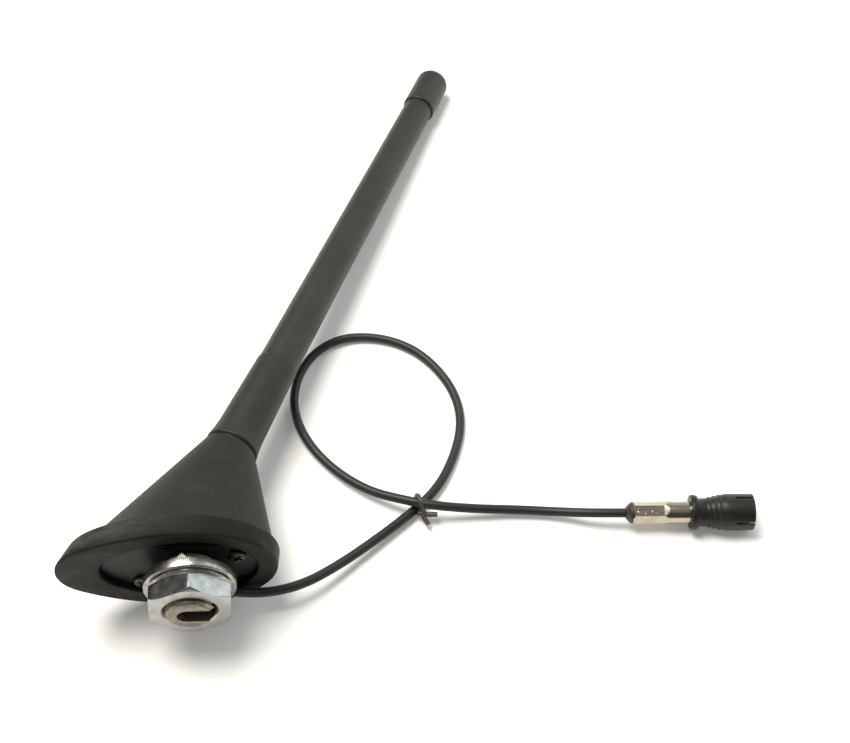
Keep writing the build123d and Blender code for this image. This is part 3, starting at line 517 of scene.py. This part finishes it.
def rounded(corners, steps=4, closed=True):
    """Outline with its corners rounded, from (point, reach) pairs. A reach is kept within its edges."""
    outline = []
    for index, (corner, reach) in enumerate(corners):
        inner = closed or 0 < index < len(corners) - 1
        if reach == 0 or not inner:
            outline.append(corner)
            continue
        to_before = corners[index - 1][0] - corner
        to_after = corners[(index + 1) % len(corners)][0] - corner
        reach = min(reach, EDGE_SHARE * to_before.length, EDGE_SHARE * to_after.length)
        start = corner + to_before.normalized() * reach
        end = corner + to_after.normalized() * reach
        for step in range(steps + 1):
            t = step / steps
            outline.append(start * (1 - t) ** 2 + corner * 2 * t * (1 - t) + end * t**2)
    return outline


def skin(outlines, closed=True):
    """Points and faces between neighbouring outlines all the way round."""
    count = len(outlines[0])
    points = [point for outline in outlines for point in outline]
    faces = []
    for i in range(len(outlines)):
        j = (i + 1) % len(outlines)
        for k in range(count if closed else count - 1):
            m = (k + 1) % count
            faces.append((i * count + k, i * count + m, j * count + m, j * count + k))
    return points, faces


def ring_angles(first=0.0):
    """Even angles all the way round, from a first one in degrees."""
    return [math.radians(first) + 2 * math.pi * k / AROUND for k in range(AROUND)]


def around(profile, first=0.0, closed=True):
    """Skin from a profile of (radius, height, reach) corners, which may depend on the angle."""
    outlines = []
    for angle in ring_angles(first):
        corners = profile(angle) if callable(profile) else profile
        flat = [(Vector((r, 0, z)), reach) for r, z, reach in corners]
        turn = Matrix.Rotation(angle, 3, "Z")
        outlines.append([turn @ point for point in rounded(flat, closed=closed)])
    return skin(outlines, closed)


def block(near, far):
    """Closed block between two ends of four corners each."""
    faces = [(0, 1, 2, 3), (4, 7, 6, 5)]
    faces += [(k, 4 + k, 4 + (k + 1) % 4, (k + 1) % 4) for k in range(4)]
    return near + far, faces


def weld(mesh, distance):
    """Joins points that lie together and turns all faces outwards."""
    work = bmesh.new()
    work.from_mesh(mesh)
    bmesh.ops.remove_doubles(work, verts=work.verts, dist=distance)
    bmesh.ops.recalc_face_normals(work, faces=work.faces)
    work.to_mesh(mesh)
    work.free()


def make_mesh(name, points, faces, where):
    """Welded mesh with outward faces, carried to its place."""
    mesh = bpy.data.meshes.new(name)
    mesh.from_pydata([where @ Vector(point) for point in points], [], faces)
    weld(mesh, POINT_WELD)
    return mesh


def finish_piece(name, mesh, material, body, stands_for=None, sharp=SOFT_EDGE):
    """Object with soft shading, on its body, in place of its solid if it has one."""
    mesh.shade_smooth()
    mesh.set_sharp_from_angle(angle=math.radians(sharp))
    mesh.materials.clear()
    mesh.materials.append(material)
    piece = new_object(name, mesh)
    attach(piece, body)
    if stands_for:
        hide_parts(stands_for)
    print(name, len(mesh.polygons), "faces")
    return piece


def plain_mesh(thing):
    """Mesh of an object with its modifier or bevel worked in. The object itself is removed."""
    graph = bpy.context.evaluated_depsgraph_get()
    mesh = bpy.data.meshes.new_from_object(thing.evaluated_get(graph))
    bpy.data.objects.remove(thing)
    return mesh


def combine(mesh, tool, operation):
    """Mesh after a cut or a join with another mesh."""
    base = new_object("work", mesh)
    other = new_object("tool", tool)
    step = base.modifiers.new("step", "BOOLEAN")
    step.operation = operation
    step.solver = "EXACT"
    step.object = other
    result = plain_mesh(base)
    bpy.data.objects.remove(other)
    return result


# %% [markdown]
# ## Gasket
# A soft rubber band between the cone and the roof, egg-shaped, with a flat lip below and a recess for the
# plate. An egg drawn by the direction its edge faces makes every outline line up with the next, so the lip,
# the outer wall and the ledge can share one rounded outline.

# %% Gasket
FOOT = dict(half=19.0, rear=24.1, front=36.6, nose=11.8, middle=0.0)
RIM = dict(half=21.0, rear=24.9, front=33.0, nose=15.8, middle=-1.8)
RECESS = dict(half=14.6, rear=18.5, front=24.3, nose=9.0, middle=0.0)
GASKET_HEIGHT = 5.9
GASKET_WALL = 3.0
LIP_DEPTH = 2.2
FOOT_ROUND = 1.0
EDGE_ROUND = 0.9
LEDGE_ROUND = 0.2


def egg_point(facing, half, rear, front, nose, middle, inset=0.0):
    """Point of an egg's edge that faces a given direction: elliptic rear, arc sides, round nose at -X."""
    reach = front - nose + middle
    side = (reach**2 + half**2 - nose**2) / (2 * (half - nose))
    turn = math.atan2(reach, side - half)
    c, s = math.cos(facing), math.sin(facing)
    along = rear - middle
    if c >= 0:
        size = math.hypot(along * c, half * s)
        x, y = middle + along**2 * c / size, half**2 * s / size
    elif math.asin(min(1.0, -c)) <= turn:
        x, y = middle + side * c, math.copysign(half - side + side * abs(s), s)
    else:
        x, y = nose - front + nose * c, nose * s
    return Vector((x - inset * c, y - inset * s, 0))


def gasket_outline(facing):
    """Closed outline of the band where its edge faces a given direction."""
    up = Vector((0, 0, 1))
    pocket = egg_point(facing, **RIM, inset=GASKET_WALL)
    recess = egg_point(facing, **RECESS)
    return rounded([
        (egg_point(facing, **FOOT), FOOT_ROUND),
        (egg_point(facing, **RIM) + up * GASKET_HEIGHT, EDGE_ROUND),
        (pocket + up * GASKET_HEIGHT, 0),
        (pocket + up * LIP_DEPTH, 0),
        (recess + up * LIP_DEPTH, LEDGE_ROUND),
        (recess, EDGE_ROUND),
    ])


points, faces = skin([gasket_outline(facing) for facing in ring_angles()])
gasket_mesh = make_mesh("gasket_band", points, faces, BASE)
finish_piece("gasket_band", gasket_mesh, gasket_rubber, "base", "base_gasket")

# %% [markdown]
# ## Threads
# The stud and the nut share one thread. A groove winds round the stud and a slimmer ridge inside the nut,
# from the same helix, so they mesh at rest and stay meshed while the nut turns. The groove is cut from a
# copy of the stud's own solid, which keeps its slot, flange and lug.

# %% Thread helix
THREAD_PITCH = 1.5
STUD_R = 6.93
NUT_BORE_R = 7.0
HELIX_STEPS = 48
BAR_SIDES = 3
GROOVE = dict(outer=STUD_R + 0.12, inner=6.15, half_width=0.72, bottom=-14.6, top=0.6)
SEAM_WELD = 1e-6


def helix_bar(outer, inner, half_width, bottom, top):
    """Closed three-sided bar along the thread's helix: base at one radius, ridge at the other."""
    count = int((top - bottom) / THREAD_PITCH * HELIX_STEPS)
    points, faces = [], []
    for k in range(count + 1):
        z = bottom + THREAD_PITCH * k / HELIX_STEPS
        angle = 2 * math.pi * z / THREAD_PITCH
        for r, dz in ((outer, -half_width), (outer, half_width), (inner, 0)):
            points.append(Vector((r * math.cos(angle), r * math.sin(angle), z + dz)))
    for k in range(count):
        for side in range(BAR_SIDES):
            a = k * BAR_SIDES + side
            b = k * BAR_SIDES + (side + 1) % BAR_SIDES
            faces.append((a, b, b + BAR_SIDES, a + BAR_SIDES))
    last = count * BAR_SIDES
    faces += [(0, 2, 1), (last, last + 1, last + 2)]
    return points, faces


# %% Threaded stud
stud_mesh = nodes["roof_stud"].data.copy()
weld(stud_mesh, SEAM_WELD)
groove = make_mesh("groove", *helix_bar(**GROOVE), BASE)
stud_mesh = combine(stud_mesh, groove, "DIFFERENCE")
finish_piece("threaded_stud", stud_mesh, stud_casting, "base", "roof_stud", sharp=30)

# %% [markdown]
# ## Nut
# A hexagon nut is a bar of hexagon section whose ends were turned to a cone, which leaves a curved edge on
# each flat. Drawing its outline at each angle gives that edge by itself: the corner only has to drop further
# the further out it lies.

# %% Hexagon nut
HEX_STEP = math.radians(60)
NUT_FLAT = 11.0
NUT_TURNED = 28.1
NUT_CORNER_R = 12.62
NUT_EDGE_R = 11.2
NUT_EDGE_SLOPE = math.tan(math.radians(30))
NUT_FRONT = -12.7
NUT_BACK = -6.95
NUT_CHAMFER = 0.8
NUT_ROUND = 0.2
NUT_FACE_ROUND = 0.15
NUT_BORE_ROUND = 0.12
NUT_EDGE_STEP = 0.05
RIDGE_INSET = 1.2
RIDGE = dict(outer=NUT_BORE_R + 0.1, inner=6.4, half_width=0.45, bottom=NUT_FRONT + RIDGE_INSET,
             top=NUT_BACK - RIDGE_INSET)


def hexagon_radius(angle, flat, turned_by, limit):
    """Distance to a hexagon's edge, with its corners taken off at a limit."""
    off_middle = (angle - math.radians(turned_by)) % HEX_STEP - HEX_STEP / 2
    return min(flat / math.cos(off_middle), limit)


def nut_profile(angle):
    """Outline of the nut at an angle, with the turned edge lower the further out it lies."""
    outer = hexagon_radius(angle, NUT_FLAT, NUT_TURNED, NUT_CORNER_R)
    drop = max(0.0, (outer - NUT_EDGE_R) * NUT_EDGE_SLOPE)
    edge = min(outer - NUT_EDGE_STEP, NUT_EDGE_R)
    wide = NUT_BORE_R + NUT_CHAMFER
    return [
        (outer, NUT_BACK - drop, NUT_ROUND),
        (outer, NUT_FRONT + drop, NUT_ROUND),
        (edge, NUT_FRONT, NUT_FACE_ROUND),
        (wide, NUT_FRONT, NUT_BORE_ROUND),
        (NUT_BORE_R, NUT_FRONT + NUT_CHAMFER, NUT_BORE_ROUND),
        (NUT_BORE_R, NUT_BACK - NUT_CHAMFER, NUT_BORE_ROUND),
        (wide, NUT_BACK, NUT_BORE_ROUND),
        (edge, NUT_BACK, NUT_FACE_ROUND),
    ]


nut_mesh = make_mesh("nut", *around(nut_profile, first=NUT_TURNED), BASE)
nut_mesh = combine(nut_mesh, make_mesh("ridge", *helix_bar(**RIDGE), BASE), "UNION")
finish_piece("hexagon_nut", nut_mesh, zinc_plate, "nut", "roof_nut", sharp=24)

# %% [markdown]
# ## Claw washer
# A steel cup pressed from sheet: its rim is rolled and bright, its edge shows the darker shear lines of the
# press, and three claws bite into the roof. The cup is a turned outline. The shear lines repeat, so Geometry
# Nodes sets one small ridge on every point of a circle.

# %% Washer cup and claws
WASHER_R = 12.7
WASHER_BACK = -2.8
WASHER_RIM = -5.75
WASHER_SEAT = -6.9
WASHER_HOLE_R = 7.3
WASHER_SHEET = 1.4
ROLL_INNER_R = 11.2
ROLL_DROP = 0.05
DISH_R = 10.6
DISH_BACK_R = 9.6
CUP_BACK_R = 10.7
ROLL_ROUND = 1.5
ROLL_INNER_ROUND = 0.35
BEND_ROUND = 0.3
SHEET_ROUND = 0.15
HOLE_ROUND = 0.1
CLAW_ANGLES = (-101.0, 19.0, 139.0)
CLAW_INSETS = (1.15, 0.2)
CLAW_OUTLINE = ((-1.6, -0.4), (1.6, -0.4), (0.25, 1.35), (-0.25, 1.35))


def washer_profile():
    """Outline of the cup: wall, rolled rim, dished seat, and the same again inside the sheet."""
    inner_r = WASHER_R - WASHER_SHEET
    seat_back = WASHER_SEAT + WASHER_SHEET
    rim_back = WASHER_RIM + WASHER_SHEET
    return [
        (WASHER_R, WASHER_BACK, SHEET_ROUND),
        (WASHER_R, WASHER_RIM, ROLL_ROUND),
        (ROLL_INNER_R, WASHER_RIM - ROLL_DROP, ROLL_INNER_ROUND),
        (DISH_R, WASHER_SEAT, BEND_ROUND),
        (WASHER_HOLE_R, WASHER_SEAT, HOLE_ROUND),
        (WASHER_HOLE_R, seat_back, HOLE_ROUND),
        (DISH_BACK_R, seat_back, BEND_ROUND),
        (CUP_BACK_R, rim_back, BEND_ROUND),
        (inner_r, rim_back, SHEET_ROUND),
        (inner_r, WASHER_BACK, SHEET_ROUND),
    ]


def claw(angle):
    """Pointed tooth on the washer's back edge."""
    turn = Matrix.Rotation(math.radians(angle), 3, "Z")
    ends = []
    for inset in CLAW_INSETS:
        r = WASHER_R - inset
        ends.append([turn @ Vector((r, across, WASHER_BACK + up)) for across, up in CLAW_OUTLINE])
    return block(*ends)


washer_mesh = make_mesh("washer", *around(washer_profile()), BASE)
for angle in CLAW_ANGLES:
    washer_mesh = combine(washer_mesh, make_mesh("claw", *claw(angle), BASE), "UNION")
finish_piece("claw_cup", washer_mesh, pressed_zinc, "washer", "claw_washer")

# %% Shear lines round the washer
SHEAR_COUNT = 150
SHEAR_SIZE = (0.20, 0.24, 1.35)
SHEAR_AT = -3.55
SHEAR_SUNK = 0.03


def shear_tree():
    """Geometry Nodes tree: one small ridge on each point of a circle, turned to face outwards."""
    inputs = [("Count", "NodeSocketInt", 12), ("Radius", FLOAT, 1.0), ("Size", VECTOR, (1, 1, 1)),
              ("Finish", "NodeSocketMaterial", None)]
    outputs = [("Geometry", "NodeSocketGeometry")]
    tree, given, result = new_group("shear_lines", inputs, outputs, kind="GeometryNodeTree")
    circle = add(tree, "GeometryNodeMeshCircle")
    ridge = add(tree, "GeometryNodeMeshCube")
    outwards = add(tree, "FunctionNodeAlignRotationToVector", axis="X")
    place_on = add(tree, "GeometryNodeInstanceOnPoints")
    real = add(tree, "GeometryNodeRealizeInstances")
    finish = add(tree, "GeometryNodeSetMaterial")
    link = tree.links.new
    link(given.outputs["Count"], circle.inputs["Vertices"])
    link(given.outputs["Radius"], circle.inputs["Radius"])
    link(given.outputs["Size"], ridge.inputs["Size"])
    link(add(tree, "GeometryNodeInputPosition").outputs[0], outwards.inputs["Vector"])
    link(circle.outputs["Mesh"], place_on.inputs["Points"])
    link(ridge.outputs["Mesh"], place_on.inputs["Instance"])
    link(outwards.outputs["Rotation"], place_on.inputs["Rotation"])
    link(place_on.outputs["Instances"], real.inputs["Geometry"])
    link(real.outputs["Geometry"], finish.inputs["Geometry"])
    link(given.outputs["Finish"], finish.inputs["Material"])
    link(finish.outputs["Geometry"], result.inputs["Geometry"])
    return tree


def run_tree(tree, **values):
    """Plain mesh that a Geometry Nodes tree makes from the given inputs."""
    holder = new_object("holder", bpy.data.meshes.new("holder"))
    step = holder.modifiers.new("nodes", "NODES")
    step.node_group = tree
    for socket in tree.interface.items_tree:
        if socket.in_out == "INPUT" and socket.name in values:
            step[socket.identifier] = values[socket.name]
    return plain_mesh(holder)


lines_mesh = run_tree(shear_tree(), Count=SHEAR_COUNT, Radius=WASHER_R - SHEAR_SUNK, Size=SHEAR_SIZE,
                      Finish=sheared_steel)
lines_mesh.transform(BASE @ Matrix.Translation((0, 0, SHEAR_AT)))
finish_piece("shear_lines", lines_mesh, sheared_steel, "washer")

# %% [markdown]
# ## Connector
# A plastic boot, a nickel sleeve crimped to six flats, two of them rough, and a moulded shroud with three
# ribs and a slotted mouth. The crimp is drawn by angle and length: the flats run out into the round sleeve
# on a slope, which leaves the bright scallop at each flat's end.

# %% Boot and sleeve
SLEEVE_START = 1.9
SLEEVE_END = 22.9
SLEEVE_R = 3.3
SLEEVE_BORE_R = 2.0
CRIMP_FLAT = 2.78
CRIMP_FROM = 2.4
CRIMP_TO = 11.0
CRIMP_TURN = 50.0
CRIMP_RUNOUT = 0.32
CRIMP_STEP = 0.2
CRIMP_EDGE = 0.02
RUNOUT_STEP = 0.12
RUNOUT_STEPS = 13
DIE_MARK = 0.11
DIE_GRAIN = 3.6
DIE_PAIR = 2
DIE_FADE_SIDE = 0.2
DIE_FADE_END = 0.6
BOOT_R = 3.15
BOOT_CABLE_R = 1.75
BOOT_TAPER = 1.4
BOOT_CABLE_ROUND = 0.2
BOOT_TAPER_ROUND = 0.3
BOOT_END_ROUND = 0.15
BOOT = [
    (0, 0, 0),
    (BOOT_CABLE_R, 0, BOOT_CABLE_ROUND),
    (BOOT_R, BOOT_TAPER, BOOT_TAPER_ROUND),
    (BOOT_R, SLEEVE_START, BOOT_END_ROUND),
    (0, SLEEVE_START, 0),
]


def die_marked(angle):
    """True on the two opposite flats that the die's teeth bit into."""
    return (angle - math.radians(CRIMP_TURN)) // HEX_STEP % 3 == DIE_PAIR


def crimp_radius(angle, z):
    """Radius of the sleeve: flats along the crimp, two of them rough, then a slope back to the round."""
    flat = hexagon_radius(angle, CRIMP_FLAT, CRIMP_TURN, SLEEVE_R)
    if z < CRIMP_FROM:
        return SLEEVE_R
    if z > CRIMP_TO:
        return min(SLEEVE_R, flat + (z - CRIMP_TO) * CRIMP_RUNOUT)
    if not die_marked(angle):
        return flat
    rough = noise_at(Vector((angle * SLEEVE_R, z, 0)) * DIE_GRAIN)
    from_side = min(1.0, (SLEEVE_R - flat) / DIE_FADE_SIDE)
    from_end = min(1.0, (z - CRIMP_FROM) / DIE_FADE_END, (CRIMP_TO - z) / DIE_FADE_END)
    return flat - DIE_MARK * from_side * from_end * abs(rough)


def sleeve_profile(angle):
    """Outline of the sleeve at an angle, with close stations along the crimp and its slope."""
    crimp_steps = round((CRIMP_TO - CRIMP_FROM) / CRIMP_STEP)
    stations = [SLEEVE_START, CRIMP_FROM - CRIMP_EDGE]
    stations += [CRIMP_FROM + CRIMP_STEP * k for k in range(crimp_steps + 1)]
    stations += [CRIMP_TO + RUNOUT_STEP * k for k in range(1, RUNOUT_STEPS + 1)]
    stations += [SLEEVE_END]
    outer = [(crimp_radius(angle, z), z, 0) for z in stations]
    return outer + [(SLEEVE_BORE_R, SLEEVE_END, 0), (SLEEVE_BORE_R, SLEEVE_START, 0)]


boot_mesh = make_mesh("lead_boot", *around(BOOT, closed=False), PLUG)
boot = finish_piece("lead_boot", boot_mesh, boot_plastic, "base", "connector_boot")
sleeve_mesh = make_mesh("crimp_sleeve", *around(sleeve_profile), PLUG)
sleeve = finish_piece("crimp_sleeve", sleeve_mesh, nickel_plate, "base", "connector_sleeve",
                      sharp=14)

# %% Shroud
SHROUD_START = 18.9
SHROUD_END = 37.5
RIB_STARTS = (5.2, 6.7, 8.2)
RIB_WIDTH = 0.7
RIB_HEIGHT = 0.3
RIB_TOP = (0.2, 0.5)
RIB_FOOT_ROUND = 0.1
RIB_TOP_ROUND = 0.15
COLLAR_R = 5.2
COLLAR_LENGTH = 1.9
COLLAR_ROUND = 0.6
COLLAR_NECK_ROUND = 0.7
NECK_R = 4.15
NECK_START = 2.5
NECK_END = 4.6
NECK_ROUND = 0.6
NECK_FLARE_ROUND = 0.5
FLARE_END = 10.5
FLARE_ROUND = 1.2
SHROUD_R = 5.4
MOUTH_R = 4.6
MOUTH_START = 30.0
MOUTH_ROUND = 0.35
MOUTH_INNER_ROUND = 0.25
SHROUD_BORE_R = 3.45
GRIP_R = 3.35
GRIP_LENGTH = 4.0
GRIP_ROUND = 0.1
SLOT_ANGLES = (70, 160, 250, 340)
SLOT_WIDTH = 0.8
SLOT_LENGTH = 5.5
SLOT_FROM_R = 3
SLOT_TO_R = 7
SLOT_PAST = 1


def shroud_profile():
    """Outline of the shroud: collar, neck, ribs on the flare, mouth, and back through the bore."""
    slope = (SHROUD_R - NECK_R) / (FLARE_END - NECK_END)
    outer = [(COLLAR_R, 0.0, COLLAR_ROUND), (COLLAR_R, COLLAR_LENGTH, COLLAR_NECK_ROUND)]
    outer += [(NECK_R, NECK_START, NECK_ROUND), (NECK_R, NECK_END, NECK_FLARE_ROUND)]
    for start in RIB_STARTS:
        r = NECK_R + (start - NECK_END) * slope
        top = r + RIB_HEIGHT
        outer += [(r, start, RIB_FOOT_ROUND)]
        outer += [(top, start + along, RIB_TOP_ROUND) for along in RIB_TOP]
        outer += [(r + RIB_WIDTH * slope, start + RIB_WIDTH, RIB_FOOT_ROUND)]
    length = SHROUD_END - SHROUD_START
    outer += [(SHROUD_R, FLARE_END, FLARE_ROUND), (SHROUD_R, length, MOUTH_ROUND)]
    seat = MOUTH_START - SHROUD_START
    inner = [(MOUTH_R, length, MOUTH_INNER_ROUND), (MOUTH_R, seat, 0), (SHROUD_BORE_R, seat, 0)]
    inner += [(SHROUD_BORE_R, GRIP_LENGTH, 0), (GRIP_R, GRIP_LENGTH, 0), (GRIP_R, 0.0, GRIP_ROUND)]
    return [(r, SHROUD_START + z, reach) for r, z, reach in outer + inner]


def slot_block(angle):
    """Box that cuts one slot into the mouth."""
    turn = Matrix.Rotation(math.radians(angle), 3, "Z")
    corners = ((SLOT_FROM_R, -1), (SLOT_TO_R, -1), (SLOT_TO_R, 1), (SLOT_FROM_R, 1))
    ends = []
    for z in (SHROUD_END - SLOT_LENGTH, SHROUD_END + SLOT_PAST):
        ends.append([turn @ Vector((x, y * SLOT_WIDTH / 2, z)) for x, y in corners])
    return block(*ends)


shroud_mesh = make_mesh("shroud", *around(shroud_profile()), PLUG)
for angle in SLOT_ANGLES:
    shroud_mesh = combine(shroud_mesh, make_mesh("slot", *slot_block(angle), PLUG), "DIFFERENCE")
shroud = finish_piece("ribbed_shroud", shroud_mesh, shroud_plastic, "base", "connector_shroud",
                      sharp=30)

# %% [markdown]
# ## Tie
# A short coated wire is bent round both strands where the lead crosses itself, and its two ends stick out
# towards the front. It is one spline round the crossing, made a mesh at once because it is bent for good.

# %% Wire tie
TIE_AT = Vector((36.8, -73.3, 4.0))
TIE_HEADING = math.radians(11.0)
TIE_WIRE = 1.5
TIE_HALF_WIDTH = 2.75
TIE_HALF_HEIGHT = 3.25
TIE_TURN_POINTS = 12
TIE_LEAN = 1.2
TIE_KNOT_OUT = 1.15
TIE_KNOT_DROP = 0.6
TIE_ENDS = (
    dict(heading=-8.0, length=4.6, rise=0.3),
    dict(heading=-60.0, length=3.4, rise=-1.2),
)
TIE_END_SHARES = (1.0, 0.6, 0.2)
SPLINE_ORDER = 3
SPLINE_STEPS = 10


def smooth_curve(name, points, diameter, bevel_steps=8):
    """Round bar along one smooth spline with the given control points, in millimetres."""
    data = bpy.data.curves.new(name, "CURVE")
    data.dimensions = "3D"
    data.bevel_depth = diameter / 2 * MM
    data.bevel_resolution = bevel_steps
    data.resolution_u = SPLINE_STEPS
    data.use_fill_caps = True
    spline = data.splines.new("NURBS")
    spline.points.add(len(points) - 1)
    for target, point in zip(spline.points, points):
        target.co = (*(Vector(point) * MM), 1.0)
    spline.order_u = SPLINE_ORDER
    spline.use_endpoint_u = True
    return new_object(name, data)


def tie_end(knot, heading, length, rise):
    """Points of one wire end, from its tip back to the knot."""
    way = Vector((math.cos(math.radians(heading)), math.sin(math.radians(heading)), 0))
    reach = way * length + Vector((0, 0, rise))
    return [knot + reach * share - Vector((0, 0, TIE_KNOT_DROP)) for share in TIE_END_SHARES]


def tie_points():
    """Points of the wire: one end, once round both strands, and the other end."""
    across = Vector((-math.sin(TIE_HEADING), math.cos(TIE_HEADING), 0))
    along = Vector((math.cos(TIE_HEADING), math.sin(TIE_HEADING), 0))
    knot = TIE_AT - across * TIE_HALF_WIDTH * TIE_KNOT_OUT
    loop = []
    for k in range(TIE_TURN_POINTS + 1):
        angle = math.pi + 2 * math.pi * k / TIE_TURN_POINTS
        lift = Vector((0, 0, TIE_HALF_HEIGHT * math.sin(angle)))
        side = across * TIE_HALF_WIDTH * math.cos(angle)
        loop.append(TIE_AT + side + lift + along * (k / TIE_TURN_POINTS - 0.5) * TIE_LEAN)
    first, last = [tie_end(knot, **end) for end in TIE_ENDS]
    return first + loop + last[::-1]


tie_curve = smooth_curve("tie_curve", tie_points(), TIE_WIRE, bevel_steps=4)
tie = finish_piece("wire_tie", plain_mesh(tie_curve), tie_plastic, "base", "cable_tie")

# %% [markdown]
# ## The lead
# A thin coax is stiff for its size: it leaves the grommet nearly level, sinks to the floor, runs under its
# own loop and comes back over itself at the tie. Its centre line is one smooth spline whose control points
# are the route's own points, and a round bevel gives it its jacket.

# %% Coax lead
LEAD_DIAMETER = 2.8
LEAD_POINTS = [
    (-24.34, -98.75, 10.57),
    (-17.52, -99.97, 9.58),
    (-8.5, -100.6, 8.7),
    (1.5, -97.8, 6.6),
    (12.0, -91.2, 4.3),
    (22.5, -83.8, 3.0),
    (33.5, -75.6, 2.3),
    (42.8, -67.6, 2.2),
    (49.2, -56.5, 1.5),
    (53.3, -44.0, 1.5),
    (52.6, -32.0, 1.5),
    (47.6, -20.8, 1.5),
    (40.2, -12.0, 1.5),
    (29.6, -6.6, 1.5),
    (17.8, -6.0, 1.7),
    (8.2, -11.8, 2.1),
    (2.2, -22.4, 2.4),
    (0.9, -34.6, 2.3),
    (4.8, -46.6, 2.0),
    (12.4, -57.6, 2.2),
    (22.2, -66.6, 3.2),
    (33.0, -72.4, 5.6),
    (41.6, -75.2, 5.7),
    (53.5, -76.2, 3.6),
    (66.0, -77.0, 2.3),
    (77.5, -79.0, 2.5),
    (87.94, -82.32, 5.45),
    (97.4, -83.2, 5.45),
]


lead = smooth_curve("coax_lead", LEAD_POINTS, LEAD_DIAMETER)
lead.data.materials.append(cable_jacket)
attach(lead, "base")
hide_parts("coax_cable")
